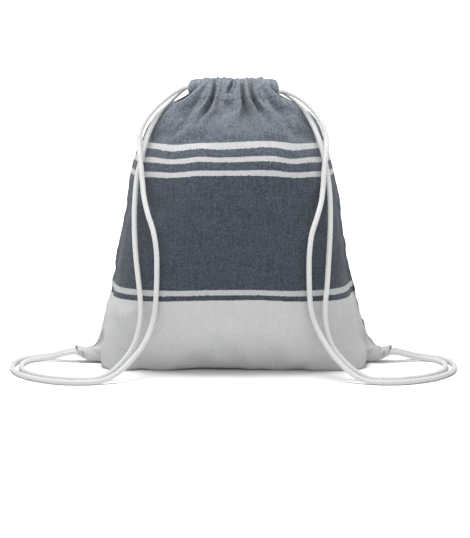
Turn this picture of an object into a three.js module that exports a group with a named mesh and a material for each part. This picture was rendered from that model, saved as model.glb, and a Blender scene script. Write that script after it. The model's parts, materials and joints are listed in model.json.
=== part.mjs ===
// Cotton drawstring backpack: a flat two-panel bag standing stuffed and upright, with its mouth
// drawn shut. A folded hem (casing) along the top of each panel carries two braided cords, and
// each cord runs down as a double shoulder strap to a cloth loop at its bottom corner.
// Millimetres, +Z up, X across the bag, -Y the front. The origin is on the floor, mid-bag.
import * as THREE from 'three';

// ---- driving dimensions -------------------------------------------------------------------
const CLOTH = 1.6; // wall of a panel
const SEAM_GAP = 0.3; // between any two pieces that touch
const BAG_BASE_HALF_WIDTH = 150; // stuffed body at the floor, without its corner ears
const EAR_END = 171.5; // where the corner ear stops and its cloth loop starts
const LOOP_TIP = 186; // outer end of the cloth loop
const NECK_TOP = 305; // top edge of the panels, under the casings
const CASING_HALF_LENGTH = 42.5;
const CASING_BOTTOM = 305.6;
const CASING_TOP = 333;
const CASING_MID_Y = 9.5; // middle of each casing's channel, front and back
const CHANNEL_HALF = { y: 3.7, z: 9.5 };
const CORD_RADIUS = 3;
const CORD_STACK = 3.2; // each cord's run lies this far above or below the channel's middle
const CHANNEL_MID_Z = 319;

// Centre line and side line of the stuffed bag, level by level from the bottom seam to the neck:
// [depth, height] at x = 0, [half width, height] at the side, section exponent, and the ear's
// half thickness. An open level leaves the ear's end open for the cords.
const LEVELS = [
  { centre: [0, 0], side: [EAR_END, 2.5], power: 5, ear: 0 },
  { centre: [12, 0], side: [EAR_END, 4.5], power: 5, ear: 7.4, open: true },
  { centre: [24, 0], side: [EAR_END, 10], power: 5, ear: 9.6, open: true },
  { centre: [36, 0], side: [EAR_END, 15], power: 5, ear: 7.4, open: true },
  { centre: [45, 0], side: [171, 17.5], power: 4.8, ear: 5 },
  { centre: [51, 4], side: [163, 20.5], power: 4.6, ear: 4 },
  { centre: [55, 12], side: [157.5, 27], power: 4.4, ear: 3 },
  { centre: [63, 26], side: [153, 38], power: 4.1, ear: 2 },
  { centre: [73, 44], side: [149, 51], power: 3.6, ear: 0 },
  { centre: [85, 72], side: [142, 79], power: 3, ear: 0 },
  { centre: [90, 100], side: [137, 107], power: 2.6, ear: 0 },
  { centre: [92, 128], side: [131, 135], power: 2.4, ear: 0 },
  { centre: [91.5, 157], side: [127, 164], power: 2.3, ear: 0 },
  { centre: [90, 186], side: [123.5, 192], power: 2.25, ear: 0 },
  { centre: [87, 214], side: [119, 220], power: 2.2, ear: 0 },
  { centre: [81, 239], side: [112, 245], power: 2.2, ear: 0 },
  { centre: [72, 259], side: [104, 265], power: 2.2, ear: 0 },
  { centre: [56, 278], side: [92, 284], power: 2.2, ear: 0 },
  { centre: [36, 293], side: [72, 297], power: 2.2, ear: 0 },
  { centre: [15, NECK_TOP], side: [54, NECK_TOP], power: 2.2, ear: 0 },
];
const COLUMNS_PER_SIDE = 14;

// ---- cord routes, chosen by hand: casing end, shoulder, belly, floor loop, ear, knot ------
const EXIT_X = CASING_HALF_LENGTH + SEAM_GAP;
const LEFT_RUN_Z = CHANNEL_MID_Z + CORD_STACK;
const RIGHT_RUN_Z = CHANNEL_MID_Z - CORD_STACK;
const KNOT = new THREE.Vector3(139, 0, 12);
const KNOT_RADIUS = 10;
const KNOT_FACE_X = KNOT.x + KNOT_RADIUS + SEAM_GAP;

const LEFT_FRONT_ROUTE = [
  [-EXIT_X, -CASING_MID_Y, LEFT_RUN_Z], [-48, -CASING_MID_Y, LEFT_RUN_Z], [-56, -11.5, 321.3],
  [-68, -18, 315.5], [-80, -25, 306.5],
  [-91, -31, 296], [-100, -36, 284], [-105, -40, 272], [-106, -44, 259], [-105, -49.5, 247],
  [-103.5, -53.5, 234], [-102, -57, 219], [-100, -63, 202], [-95.5, -71, 184], [-89.5, -77.5, 166],
  [-86, -82, 146], [-85.3, -85, 124], [-86, -86, 100], [-87.5, -86.5, 80], [-91.5, -88, 60],
  [-101, -95, 39], [-114, -103, 24], [-129, -111, 11], [-146, -118, 4], [-167, -122, 3.15],
  [-190, -120, 3.15], [-213, -109, 3.15], [-233, -91, 3.15], [-247, -68, 3.15],
  [-253.5, -42, 3.15], [-253, -16, 3.15], [-244, 4, 3.15], [-229, 13, 3.3], [-213, 12.5, 5.5],
  [-199, 7.5, 10], [-187, 3.8, 13], [-172, 3.3, 11.5], [-160, 3.3, 10.5], [-KNOT_FACE_X, 3.3, 10.5],
];
const LEFT_BACK_ROUTE = [
  [-EXIT_X, CASING_MID_Y, LEFT_RUN_Z], [-48, CASING_MID_Y, LEFT_RUN_Z], [-56, 7.5, 319],
  [-65, 1.5, 312], [-74, -9, 303.5],
  [-83, -20, 293.5], [-91, -29, 281], [-97, -35, 268], [-100.5, -39.5, 256], [-103.5, -42.8, 244],
  [-106.5, -45.5, 232], [-109, -47.5, 219], [-110.5, -51.5, 203], [-111.3, -56, 186],
  [-111.3, -60.5, 167], [-110.3, -65.5, 146], [-108.3, -71, 125], [-105.7, -77, 103],
  [-104, -81, 81], [-105.5, -84, 59], [-112, -88, 37], [-122, -93, 23], [-135, -99, 11],
  [-150, -104, 4], [-169, -107, 3.15], [-190, -104, 3.15], [-210, -95, 3.15], [-227, -80, 3.15],
  [-239, -60, 3.15], [-244, -38, 3.15], [-243, -18, 3.15], [-236, -4, 3.15], [-225, 3, 3.4],
  [-212, 3, 5], [-199, -0.5, 9.3], [-187, -3.2, 12], [-172, -3.3, 10.5], [-160, -3.3, 10.5],
  [-KNOT_FACE_X, -3.3, 10.5],
];
const RIGHT_FRONT_ROUTE = [
  [EXIT_X, -CASING_MID_Y, RIGHT_RUN_Z], [48, -CASING_MID_Y, RIGHT_RUN_Z], [56, -11.5, 317],
  [66, -17, 314.5], [78, -25, 308],
  [90, -31, 297], [99, -37, 284], [104, -42, 270], [104.5, -48.5, 256], [103, -53, 243],
  [101.5, -55.5, 229], [100.5, -59, 214], [98.5, -65, 198], [93.5, -73, 181], [87.5, -79.5, 163],
  [84.8, -83.5, 143], [84.3, -86, 121], [85, -86.8, 98], [87, -87.2, 78], [93.5, -88.5, 58],
  [104, -95, 39], [116, -103, 24], [131, -111, 11], [147, -117.5, 4], [166, -121.5, 3.15],
  [188, -120, 3.15], [211, -110, 3.15], [232, -92, 3.15], [247, -68, 3.15], [253.5, -42, 3.15],
  [252.5, -16, 3.15], [243, 4, 3.15], [228, 13, 3.3], [213, 12.5, 5.5], [199, 7.5, 10],
  [187, 3.8, 13], [172, 3.3, 11.5], [160, 3.3, 10.5], [KNOT_FACE_X, 3.3, 10.5],
];
const RIGHT_BACK_ROUTE = [
  [EXIT_X, CASING_MID_Y, RIGHT_RUN_Z], [48, CASING_MID_Y, RIGHT_RUN_Z], [56, 7.5, 315],
  [64.5, 1.5, 310.3], [73, -9, 303.5],
  [82, -20, 293], [90, -30.5, 280], [95.5, -37.3, 267], [99.5, -41.5, 255], [102.5, -44.8, 243],
  [105, -47, 231], [107, -50.5, 218], [108.5, -54, 202], [109, -56.5, 185], [108.8, -61, 166],
  [107.8, -66, 146], [106.5, -71, 125], [105, -77, 103], [102.8, -81.2, 81], [104, -84, 59],
  [111, -88, 37], [122, -93, 23], [136, -99, 11], [151, -104, 4], [169, -107, 3.15],
  [190, -104, 3.15], [210, -95, 3.15], [227, -80, 3.15], [239, -60, 3.15], [244, -38, 3.15],
  [243, -18, 3.15], [236, -4, 3.15], [225, 3, 3.3], [212, 3, 5], [199, -0.5, 9.3],
  [187, -3.2, 12], [172, -3.3, 10.5], [160, -3.3, 10.5], [KNOT_FACE_X, -3.3, 10.5],
];

// ---- materials ------------------------------------------------------------------------------
const finish = (color, roughness) => new THREE.MeshStandardMaterial({ color, roughness, metalness: 0 });
const STRIPED_CLOTH = () => finish(0x49525b, 0.9);
const PALE_CLOTH = () => finish(0xc3c5c4, 0.9);
const WHITE_CORD = () => finish(0xe6e7e6, 0.85);
const DARK_THREAD = () => finish(0x3f4750, 0.8);
const PALE_THREAD = () => finish(0xd5d6d4, 0.8);

const bag = new THREE.Group();

function addPiece(name, geometry, material) {
  const mesh = new THREE.Mesh(geometry, material);
  mesh.name = name;
  bag.add(mesh);
}

// ---- geometry helpers -------------------------------------------------------------------------

// A mesh from grids of points; quads are split along the same diagonal everywhere.
class SurfaceBuilder {
  constructor() {
    this.positions = [];
    this.indices = [];
  }

  point(p) {
    this.positions.push(p[0], p[1], p[2]);
    return this.positions.length / 3 - 1;
  }

  quad(a, b, c, d) {
    this.indices.push(a, b, c, a, c, d);
  }

  // Quads between two equally long rows of point numbers.
  strip(lower, upper) {
    for (let i = 0; i + 1 < lower.length; i += 1) {
      this.quad(lower[i], lower[i + 1], upper[i + 1], upper[i]);
    }
  }

  geometry() {
    const made = new THREE.BufferGeometry();
    made.setAttribute('position', new THREE.Float32BufferAttribute(this.positions, 3));
    made.setIndex(this.indices);
    made.computeVertexNormals();
    return made;
  }
}

// Moves a polyline of [across, up] points inwards by a distance, along its own normals.
function insetLine(line, distance) {
  return line.map((point, i) => {
    const before = line[Math.max(i - 1, 0)];
    const after = line[Math.min(i + 1, line.length - 1)];
    const run = [after[0] - before[0], after[1] - before[1]];
    const length = Math.hypot(run[0], run[1]);
    return [point[0] - (distance * run[1]) / length, point[1] + (distance * run[0]) / length];
  });
}

function smoothstep(from, to, value) {
  const t = Math.min(Math.max((value - from) / (to - from), 0), 1);
  return t * t * (3 - 2 * t);
}

// ---- panels -------------------------------------------------------------------------------------

const BODY_ROW = 6; // from this level up the section is a plain rounded body without an ear
const BODY_FULLNESS = 0.04; // how much further out the body then reaches
const WALL_POWER = 24; // how suddenly the wall closes on the seam line at an open level
const EAR_END_POWER = 20; // how suddenly a closed ear ends
const EAR_SPAN = [0.6, 0.95]; // where along the half width the ear thickens
// The side line lies higher than the centre line, and the levels start to climb to it from here.
const CLIMB = { start: 0.8, earlierPerRow: 0.08, earliest: 0.08 };

function climbStart(row) {
  return Math.max(CLIMB.start - CLIMB.earlierPerRow * row, CLIMB.earliest);
}

// One surface of a panel: the outer face, or the inner one a cloth thickness inside it.
function panelRows(builder, facing, inner) {
  const centreLine = LEVELS.map((level) => level.centre);
  const sideLine = LEVELS.map((level) => level.side);
  const inset = inner ? CLOTH : 0;
  const centres = insetLine(centreLine, inset);
  const sides = insetLine(sideLine, inset);
  return LEVELS.map((level, row) => {
    const atBottomSeam = row === 0;
    const atNeck = row === LEVELS.length - 1;
    let [depth, centreZ] = centres[row];
    let sideZ = sides[row][1];
    if (atBottomSeam) {
      depth = 0;
      centreZ = level.centre[1] + inset;
      sideZ = level.side[1] + inset;
    }
    if (atNeck) {
      centreZ = NECK_TOP;
      sideZ = NECK_TOP;
    }
    if (level.open) {
      sideZ = level.side[1];
    }
    const halfWidth = level.side[0];
    const fullness = row < BODY_ROW ? 0 : BODY_FULLNESS;
    const bodyShare = Math.min(1, BAG_BASE_HALF_WIDTH / halfWidth + fullness);
    const earDepth = Math.max(0, level.ear - (atBottomSeam ? 0 : inset));
    const numbers = [];
    for (let column = -COLUMNS_PER_SIDE; column <= COLUMNS_PER_SIDE; column += 1) {
      const u = Math.sin((Math.PI / 2) * (Math.abs(column) / COLUMNS_PER_SIDE));
      const side = Math.sign(column);
      const wall = level.open || atBottomSeam ? 1 - u ** WALL_POWER : 1;
      const x = side * (u * halfWidth - inset * u * wall);
      const v = Math.min(u / bodyShare, 1);
      const body = depth * Math.max(0, 1 - v ** level.power) ** (1 / level.power);
      const earEnd = level.open ? 1 : Math.sqrt(Math.max(0, 1 - u ** EAR_END_POWER));
      const y = SEAM_GAP / 2 + body + earDepth * earEnd * smoothstep(...EAR_SPAN, u);
      const rise = smoothstep(climbStart(row), 1, u);
      const z = centreZ + (sideZ - centreZ) * rise;
      numbers.push(builder.point([x, facing * y, z]));
    }
    return numbers;
  });
}

function panel(facing) {
  const builder = new SurfaceBuilder();
  const outer = panelRows(builder, facing, false);
  const inner = panelRows(builder, facing, true);
  const last = LEVELS.length - 1;
  const end = COLUMNS_PER_SIDE * 2;
  for (let row = 0; row < last; row += 1) {
    builder.strip(outer[row], outer[row + 1]);
    builder.strip(inner[row + 1], inner[row]);
    builder.quad(outer[row][0], outer[row + 1][0], inner[row + 1][0], inner[row][0]);
    builder.quad(outer[row + 1][end], outer[row][end], inner[row][end], inner[row + 1][end]);
  }
  builder.strip(inner[0], outer[0]);
  builder.strip(outer[last], inner[last]);
  if (facing > 0) {
    flip(builder.indices);
  }
  return builder.geometry();
}

function flip(indices) {
  for (let i = 0; i < indices.length; i += 3) {
    [indices[i + 1], indices[i + 2]] = [indices[i + 2], indices[i + 1]];
  }
}

addPiece('front_panel', panel(-1), STRIPED_CLOTH());
addPiece('back_panel', panel(1), STRIPED_CLOTH());

// ---- open tubes along X: casings and corner loops ---------------------------------------------

// A tube with a straight through hole. rings(i) gives the outer and inner ring at station i.
function openTube(stations, rings) {
  const builder = new SurfaceBuilder();
  const outer = [];
  const innerEnds = [];
  const closeRing = (points) => {
    const numbers = points.map((p) => builder.point(p));
    return [...numbers, numbers[0]];
  };
  for (let i = 0; i < stations; i += 1) {
    const ring = rings(i);
    outer.push(closeRing(ring.outer));
    if (i === 0 || i === stations - 1) {
      innerEnds.push(closeRing(ring.inner));
    }
  }
  for (let i = 0; i + 1 < stations; i += 1) {
    builder.strip(outer[i], outer[i + 1]);
  }
  builder.strip(innerEnds[1], innerEnds[0]);
  builder.strip(innerEnds[0], outer[0]);
  builder.strip(outer[stations - 1], innerEnds[1]);
  return builder;
}

// Rounded rectangle in the YZ plane, as a superellipse.
function ringPoints(x, y, z, halfY, halfZ, power) {
  const points = [];
  for (let i = 0; i < TUBE_SIDES; i += 1) {
    const angle = (2 * Math.PI * (i + 0.5)) / TUBE_SIDES;
    const c = Math.cos(angle);
    const s = Math.sin(angle);
    const py = Math.sign(c) * Math.abs(c) ** (2 / power) * halfY;
    const pz = Math.sign(s) * Math.abs(s) ** (2 / power) * halfZ;
    points.push([x, y + py, z + pz]);
  }
  return points;
}

const CASING_MID_Z = (CASING_BOTTOM + CASING_TOP) / 2;
const CASING_HALF_HEIGHT = (CASING_TOP - CASING_BOTTOM) / 2;
const CASING_HALF_DEPTH = 5.6;
const PLEATS = 8;
const PLEAT_DEPTH = 1; // how far a pleat's valley sinks into the casing's face
const PLEAT_DROP = 0.4; // how much of that also lowers the casing's top and bottom
const CASING_ROUNDING = 3.5;
const CHANNEL_ROUNDING = 6;
const TUBE_SIDES = 16;
const STATIONS_PER_PLEAT = 4;
const CASING_STATIONS = PLEATS * STATIONS_PER_PLEAT + 1;

function pleatAt(x) {
  return Math.cos((Math.PI * PLEATS * (x + CASING_HALF_LENGTH)) / CASING_HALF_LENGTH);
}

function casing(facing) {
  const rings = (i) => {
    const x = -CASING_HALF_LENGTH + (2 * CASING_HALF_LENGTH * i) / (CASING_STATIONS - 1);
    const sink = (PLEAT_DEPTH * (1 + pleatAt(x))) / 2;
    const y = facing * (CASING_MID_Y - sink / 2);
    const halfY = CASING_HALF_DEPTH - sink / 2;
    const halfZ = CASING_HALF_HEIGHT - PLEAT_DROP * sink;
    const channel = { y: facing * CASING_MID_Y, z: CHANNEL_MID_Z };
    return {
      outer: ringPoints(x, y, CASING_MID_Z, halfY, halfZ, CASING_ROUNDING),
      inner: ringPoints(x, channel.y, channel.z, CHANNEL_HALF.y, CHANNEL_HALF.z, CHANNEL_ROUNDING),
    };
  };
  return openTube(CASING_STATIONS, rings).geometry();
}

addPiece('front_casing', casing(-1), STRIPED_CLOTH());
addPiece('back_casing', casing(1), STRIPED_CLOTH());

const LOOP_STATIONS = 5;
// The loop's ring where it leaves the ear, and how it tapers and rises to its tip.
const LOOP = { z: 10.4, rise: 2, halfY: 9.4, halfZ: 7.2, taperY: 0.4, taperZ: 0.6, cloth: 1.4 };
const LOOP_ROUNDING = 2.4;

function cornerLoop(side) {
  const rings = (i) => {
    const t = i / (LOOP_STATIONS - 1);
    const x = side * (EAR_END + SEAM_GAP + t * (LOOP_TIP - EAR_END - SEAM_GAP));
    const z = LOOP.z + LOOP.rise * t;
    const halfY = LOOP.halfY - LOOP.taperY * t;
    const halfZ = LOOP.halfZ - LOOP.taperZ * t;
    return {
      outer: ringPoints(x, 0, z, halfY, halfZ, LOOP_ROUNDING),
      inner: ringPoints(x, 0, z, halfY - LOOP.cloth, halfZ - LOOP.cloth, LOOP_ROUNDING),
    };
  };
  const builder = openTube(LOOP_STATIONS, rings);
  if (side < 0) {
    flip(builder.indices);
  }
  return builder.geometry();
}

// ---- cords --------------------------------------------------------------------------------------

function roundSection(radius, sides) {
  const points = [];
  for (let i = 0; i < sides; i += 1) {
    const angle = (2 * Math.PI * i) / sides;
    points.push(new THREE.Vector2(radius * Math.cos(angle), radius * Math.sin(angle)));
  }
  return new THREE.Shape(points);
}

const CORD_SIDES = 8;

function cordAlong(route, steps) {
  const points = route.map((p) => new THREE.Vector3(...p));
  const curve = new THREE.CatmullRomCurve3(points, false, 'centripetal');
  const section = roundSection(CORD_RADIUS, CORD_SIDES);
  return new THREE.ExtrudeGeometry(section, { extrudePath: curve, steps, bevelEnabled: false });
}

const TURN_REACH = 4.2;
const TURN_START = 0.8; // how far the cord runs on straight before it turns
const TURN_BENDS = 8;

// The cord's U-turn from one casing to the other, tucked in at the casings' ends.
function turnRoute(side, z) {
  const start = [side * EXIT_X, -CASING_MID_Y, z];
  const bend = [start];
  for (let i = 0; i <= TURN_BENDS; i += 1) {
    const angle = (Math.PI * i) / TURN_BENDS;
    const x = side * (EXIT_X + TURN_START + TURN_REACH * Math.sin(angle));
    bend.push([x, -CASING_MID_Y * Math.cos(angle), z]);
  }
  bend.push([start[0], CASING_MID_Y, z]);
  return bend;
}

const STRAND_STEPS = 62;
const RUN_STEPS = 6;
const TURN_STEPS = 10;
addPiece('left_cord_front_strand', cordAlong(LEFT_FRONT_ROUTE, STRAND_STEPS), WHITE_CORD());
addPiece('left_cord_back_strand', cordAlong(LEFT_BACK_ROUTE, STRAND_STEPS), WHITE_CORD());
addPiece('right_cord_front_strand', cordAlong(RIGHT_FRONT_ROUTE, STRAND_STEPS), WHITE_CORD());
addPiece('right_cord_back_strand', cordAlong(RIGHT_BACK_ROUTE, STRAND_STEPS), WHITE_CORD());

for (const [cord, z] of [['left', LEFT_RUN_Z], ['right', RIGHT_RUN_Z]]) {
  for (const [place, facing] of [['front', -1], ['back', 1]]) {
    const y = facing * CASING_MID_Y;
    const run = [[-CASING_HALF_LENGTH, y, z], [0, y, z], [CASING_HALF_LENGTH, y, z]];
    addPiece(`${cord}_cord_${place}_run`, cordAlong(run, RUN_STEPS), WHITE_CORD());
  }
}
addPiece('left_cord_turn', cordAlong(turnRoute(1, LEFT_RUN_Z), TURN_STEPS), WHITE_CORD());
addPiece('right_cord_turn', cordAlong(turnRoute(-1, RIGHT_RUN_Z), TURN_STEPS), WHITE_CORD());

const KNOT_SIDES = 16;
const KNOT_RINGS = 10;
const KNOT_SQUASH = [1, 0.95, 0.9];

// Overhand knot of the doubled cord, a plain ball inside the corner of the bag.
function knot(side) {
  const ball = new THREE.SphereGeometry(KNOT_RADIUS, KNOT_SIDES, KNOT_RINGS);
  ball.scale(...KNOT_SQUASH);
  ball.translate(side * KNOT.x, KNOT.y, KNOT.z);
  return ball;
}

// ---- stitching and overlocked seams -------------------------------------------------------------

const THREAD_RADIUS = 0.5;
const THREAD_SIDES = 5;
const STITCH_HEIGHT = 4; // above the casing's bottom

// Row of lockstitch along the bottom of a casing, in and out over the pleats.
function casingStitching(facing) {
  const route = [];
  for (let i = 1; i + 1 < CASING_STATIONS; i += 1) {
    const x = -CASING_HALF_LENGTH + (2 * CASING_HALF_LENGTH * i) / (CASING_STATIONS - 1);
    const sink = (PLEAT_DEPTH * (1 + pleatAt(x))) / 2;
    const y = CASING_MID_Y + CASING_HALF_DEPTH - sink + SEAM_GAP + THREAD_RADIUS;
    route.push(new THREE.Vector3(x, facing * y, CASING_BOTTOM + STITCH_HEIGHT));
  }
  const curve = new THREE.CatmullRomCurve3(route);
  const section = roundSection(THREAD_RADIUS, THREAD_SIDES);
  const steps = CASING_STATIONS - 1;
  return new THREE.ExtrudeGeometry(section, { extrudePath: curve, steps, bevelEnabled: false });
}

const OVERLOCK_WIDTH = 8;
const OVERLOCK_HALF_DEPTH = 1.1;

// Flat strip of overlocked seam allowance, standing in from a seam line given as [x, z] points.
function overlockStrip(line, clearance) {
  const nearSeam = insetLine(line, clearance);
  const farFromSeam = insetLine(line, clearance + OVERLOCK_WIDTH).reverse();
  const corners = [...nearSeam, ...farFromSeam].map((p) => new THREE.Vector2(p[0], p[1]));
  const depth = 2 * OVERLOCK_HALF_DEPTH;
  const strip = new THREE.ExtrudeGeometry(new THREE.Shape(corners), { depth, bevelEnabled: false });
  strip.translate(0, 0, -OVERLOCK_HALF_DEPTH);
  strip.rotateX(Math.PI / 2);
  return strip;
}

const SEAM_CLEARANCE = CLOTH + SEAM_GAP + 0.7; // the last part for the panels' slanting sides
const SIDE_OVERLOCK_BOTTOM_LEVEL = 8;

for (const [place, side] of [['left', -1], ['right', 1]]) {
  const seamLine = LEVELS.slice(SIDE_OVERLOCK_BOTTOM_LEVEL, -1).map((level) => level.side);
  const overlock = overlockStrip(seamLine, SEAM_CLEARANCE);
  if (side < 0) {
    overlock.rotateZ(Math.PI);
  }
  addPiece(`${place}_side_overlock`, overlock, DARK_THREAD());
  addPiece(`${place}_corner_loop`, cornerLoop(side), PALE_CLOTH());
  addPiece(`${place}_cord_knot`, knot(side), WHITE_CORD());
}

const BOTTOM_OVERLOCK_HALF_LENGTH = 118;
const bottomSeamLine = [[-BOTTOM_OVERLOCK_HALF_LENGTH, 0], [BOTTOM_OVERLOCK_HALF_LENGTH, 0]];
addPiece('bottom_overlock', overlockStrip(bottomSeamLine, CLOTH + SEAM_GAP), PALE_THREAD());

addPiece('front_casing_stitching', casingStitching(-1), DARK_THREAD());
addPiece('back_casing_stitching', casingStitching(1), DARK_THREAD());

// Bar tacks: dense zigzag blocks that hold the corner loops and the ends of the casing slits.
const LOOP_TACK = { size: [1.6, 0.8, 8], place: [175, -10.1, 10.8], tilt: 0 };
const SLIT_TACK = { size: [8, 2.4, 0.8], place: [83, 0, 291.7], tilt: 0.6 };

function barTack(tack, side) {
  const [x, y, z] = tack.place;
  const block = new THREE.BoxGeometry(...tack.size);
  block.rotateY(side * tack.tilt);
  block.translate(side * x, y, z);
  return block;
}

for (const [place, side] of [['left', -1], ['right', 1]]) {
  addPiece(`${place}_loop_bartack`, barTack(LOOP_TACK, side), PALE_THREAD());
  addPiece(`${place}_slit_bartack`, barTack(SLIT_TACK, side), DARK_THREAD());
}

export default bag;
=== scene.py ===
"""Cotton drawstring backpack: cloth, cords, stitching and studio, built round the CAD frame."""
import json
import math

import bmesh
import bpy
import numpy as np
from bpy.props import FloatProperty, FloatVectorProperty, IntProperty, PointerProperty
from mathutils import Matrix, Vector
from mathutils.kdtree import KDTree

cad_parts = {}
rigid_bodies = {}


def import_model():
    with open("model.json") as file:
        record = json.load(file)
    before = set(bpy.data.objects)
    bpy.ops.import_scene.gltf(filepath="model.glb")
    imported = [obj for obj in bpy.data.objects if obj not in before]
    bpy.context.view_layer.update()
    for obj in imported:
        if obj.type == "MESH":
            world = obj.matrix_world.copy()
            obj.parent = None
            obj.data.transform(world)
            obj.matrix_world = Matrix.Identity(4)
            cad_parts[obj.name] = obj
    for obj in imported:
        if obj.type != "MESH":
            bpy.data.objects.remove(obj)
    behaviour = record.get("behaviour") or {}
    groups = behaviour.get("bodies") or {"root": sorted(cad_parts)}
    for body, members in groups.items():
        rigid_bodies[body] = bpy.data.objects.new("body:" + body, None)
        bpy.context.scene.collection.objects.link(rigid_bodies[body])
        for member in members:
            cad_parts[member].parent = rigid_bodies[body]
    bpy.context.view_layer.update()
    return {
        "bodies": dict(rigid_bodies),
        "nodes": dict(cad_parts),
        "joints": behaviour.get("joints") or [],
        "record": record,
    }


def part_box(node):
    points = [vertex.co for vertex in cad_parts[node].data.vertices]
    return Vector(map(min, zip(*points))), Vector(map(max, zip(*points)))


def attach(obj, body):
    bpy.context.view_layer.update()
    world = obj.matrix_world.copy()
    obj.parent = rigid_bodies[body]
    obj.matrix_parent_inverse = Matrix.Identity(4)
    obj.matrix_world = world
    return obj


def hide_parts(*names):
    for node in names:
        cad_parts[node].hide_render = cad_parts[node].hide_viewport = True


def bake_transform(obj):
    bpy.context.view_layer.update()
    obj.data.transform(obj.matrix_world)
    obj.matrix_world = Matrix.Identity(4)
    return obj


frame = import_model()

bl_info = {
    "name": "Drawstring Backpack",
    "version": (1, 0, 0),
    "blender": (4, 5, 0),
    "location": "View3D > Sidebar > Backpack",
    "description": "Builds a stuffed cotton drawstring backpack with its cords and stitching",
    "category": "Add Mesh",
}

SIDES = {"left": -1, "right": 1}
FACES = {"front": -1, "back": 1}
MOUTH = {"front": "mouth_front", "back": "mouth_back"}
BAG = "bag"

# ---- cord routes: casing end, shoulder, belly, floor loop, corner loop, knot ----------------


def metres(rows):
    """A table of places given in millimetres, as metres."""
    return tuple(tuple(part / 1000 for part in row) for row in rows)


ROUTES = {name: metres(route) for name, route in {
    "left_cord_front_strand": (
        (-42.8, -9.5, 322.2), (-48, -9.5, 322.2), (-56, -11.5, 321.3), (-68, -18, 315.5),
        (-80, -25, 306.5), (-91, -31, 296), (-100, -36, 284), (-105, -40, 272), (-106, -44, 259),
        (-105, -49.5, 247), (-103.5, -53.5, 234), (-102, -57, 219), (-100, -63, 202),
        (-95.5, -71, 184), (-89.5, -77.5, 166), (-86, -82, 146), (-85.3, -85, 124), (-86, -86, 100),
        (-87.5, -86.5, 80), (-91.5, -88, 60), (-101, -95, 39), (-114, -103, 24), (-129, -111, 11),
        (-146, -118, 4), (-167, -122, 3.15), (-190, -120, 3.15), (-213, -109, 3.15),
        (-233, -91, 3.15), (-247, -68, 3.15), (-253.5, -42, 3.15), (-253, -16, 3.15),
        (-244, 4, 3.15), (-229, 13, 3.3), (-213, 12.5, 5.5), (-199, 7.5, 10), (-187, 3.8, 13),
        (-172, 3.3, 11.5), (-160, 3.3, 10.5), (-149.3, 3.3, 10.5),
    ),
    "left_cord_back_strand": (
        (-42.8, 9.5, 322.2), (-48, 9.5, 322.2), (-56, 7.5, 319), (-65, 1.5, 312), (-74, -9, 303.5),
        (-83, -20, 293.5), (-91, -29, 281), (-97, -35, 268), (-100.5, -39.5, 256),
        (-103.5, -42.8, 244), (-106.5, -45.5, 232), (-109, -47.5, 219), (-110.5, -51.5, 203),
        (-111.3, -56, 186), (-111.3, -60.5, 167), (-110.3, -65.5, 146), (-108.3, -71, 125),
        (-105.7, -77, 103), (-104, -81, 81), (-105.5, -84, 59), (-112, -88, 37), (-122, -93, 23),
        (-135, -99, 11), (-150, -104, 4), (-169, -107, 3.15), (-190, -104, 3.15), (-210, -95, 3.15),
        (-227, -80, 3.15), (-239, -60, 3.15), (-244, -38, 3.15), (-243, -18, 3.15),
        (-236, -4, 3.15), (-225, 3, 3.4), (-212, 3, 5), (-199, -0.5, 9.3), (-187, -3.2, 12),
        (-172, -3.3, 10.5), (-160, -3.3, 10.5), (-149.3, -3.3, 10.5),
    ),
    "right_cord_front_strand": (
        (42.8, -9.5, 315.8), (48, -9.5, 315.8), (56, -11.5, 317), (66, -17, 314.5), (78, -25, 308),
        (90, -31, 297), (99, -37, 284), (104, -42, 270), (104.5, -48.5, 256), (103, -53, 243),
        (101.5, -55.5, 229), (100.5, -59, 214), (98.5, -65, 198), (93.5, -73, 181),
        (87.5, -79.5, 163), (84.8, -83.5, 143), (84.3, -86, 121), (85, -86.8, 98), (87, -87.2, 78),
        (93.5, -88.5, 58), (104, -95, 39), (116, -103, 24), (131, -111, 11), (147, -117.5, 4),
        (166, -121.5, 3.15), (188, -120, 3.15), (211, -110, 3.15), (232, -92, 3.15),
        (247, -68, 3.15), (253.5, -42, 3.15), (252.5, -16, 3.15), (243, 4, 3.15), (228, 13, 3.3),
        (213, 12.5, 5.5), (199, 7.5, 10), (187, 3.8, 13), (172, 3.3, 11.5), (160, 3.3, 10.5),
        (149.3, 3.3, 10.5),
    ),
    "right_cord_back_strand": (
        (42.8, 9.5, 315.8), (48, 9.5, 315.8), (56, 7.5, 315), (64.5, 1.5, 310.3), (73, -9, 303.5),
        (82, -20, 293), (90, -30.5, 280), (95.5, -37.3, 267), (99.5, -41.5, 255),
        (102.5, -44.8, 243), (105, -47, 231), (107, -50.5, 218), (108.5, -54, 202),
        (109, -56.5, 185), (108.8, -61, 166), (107.8, -66, 146), (106.5, -71, 125), (105, -77, 103),
        (102.8, -81.2, 81), (104, -84, 59), (111, -88, 37), (122, -93, 23), (136, -99, 11),
        (151, -104, 4), (169, -107, 3.15), (190, -104, 3.15), (210, -95, 3.15), (227, -80, 3.15),
        (239, -60, 3.15), (244, -38, 3.15), (243, -18, 3.15), (236, -4, 3.15), (225, 3, 3.3),
        (212, 3, 5), (199, -0.5, 9.3), (187, -3.2, 12), (172, -3.3, 10.5), (160, -3.3, 10.5),
        (149.3, -3.3, 10.5),
    ),
}.items()}
CORD_STEPS_PER_SPAN = 24
TURN_REACH = 0.0042  # how far a cord's turn stands out from where it starts to bend
TURN_GAP, TURN_START = 0.0003, 0.0011  # from the casing to the turn, and to its bend
TURN_POINTS = 7

# ---- the bag's shape, row by row up the cloth from the bottom seam --------------------------

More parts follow.
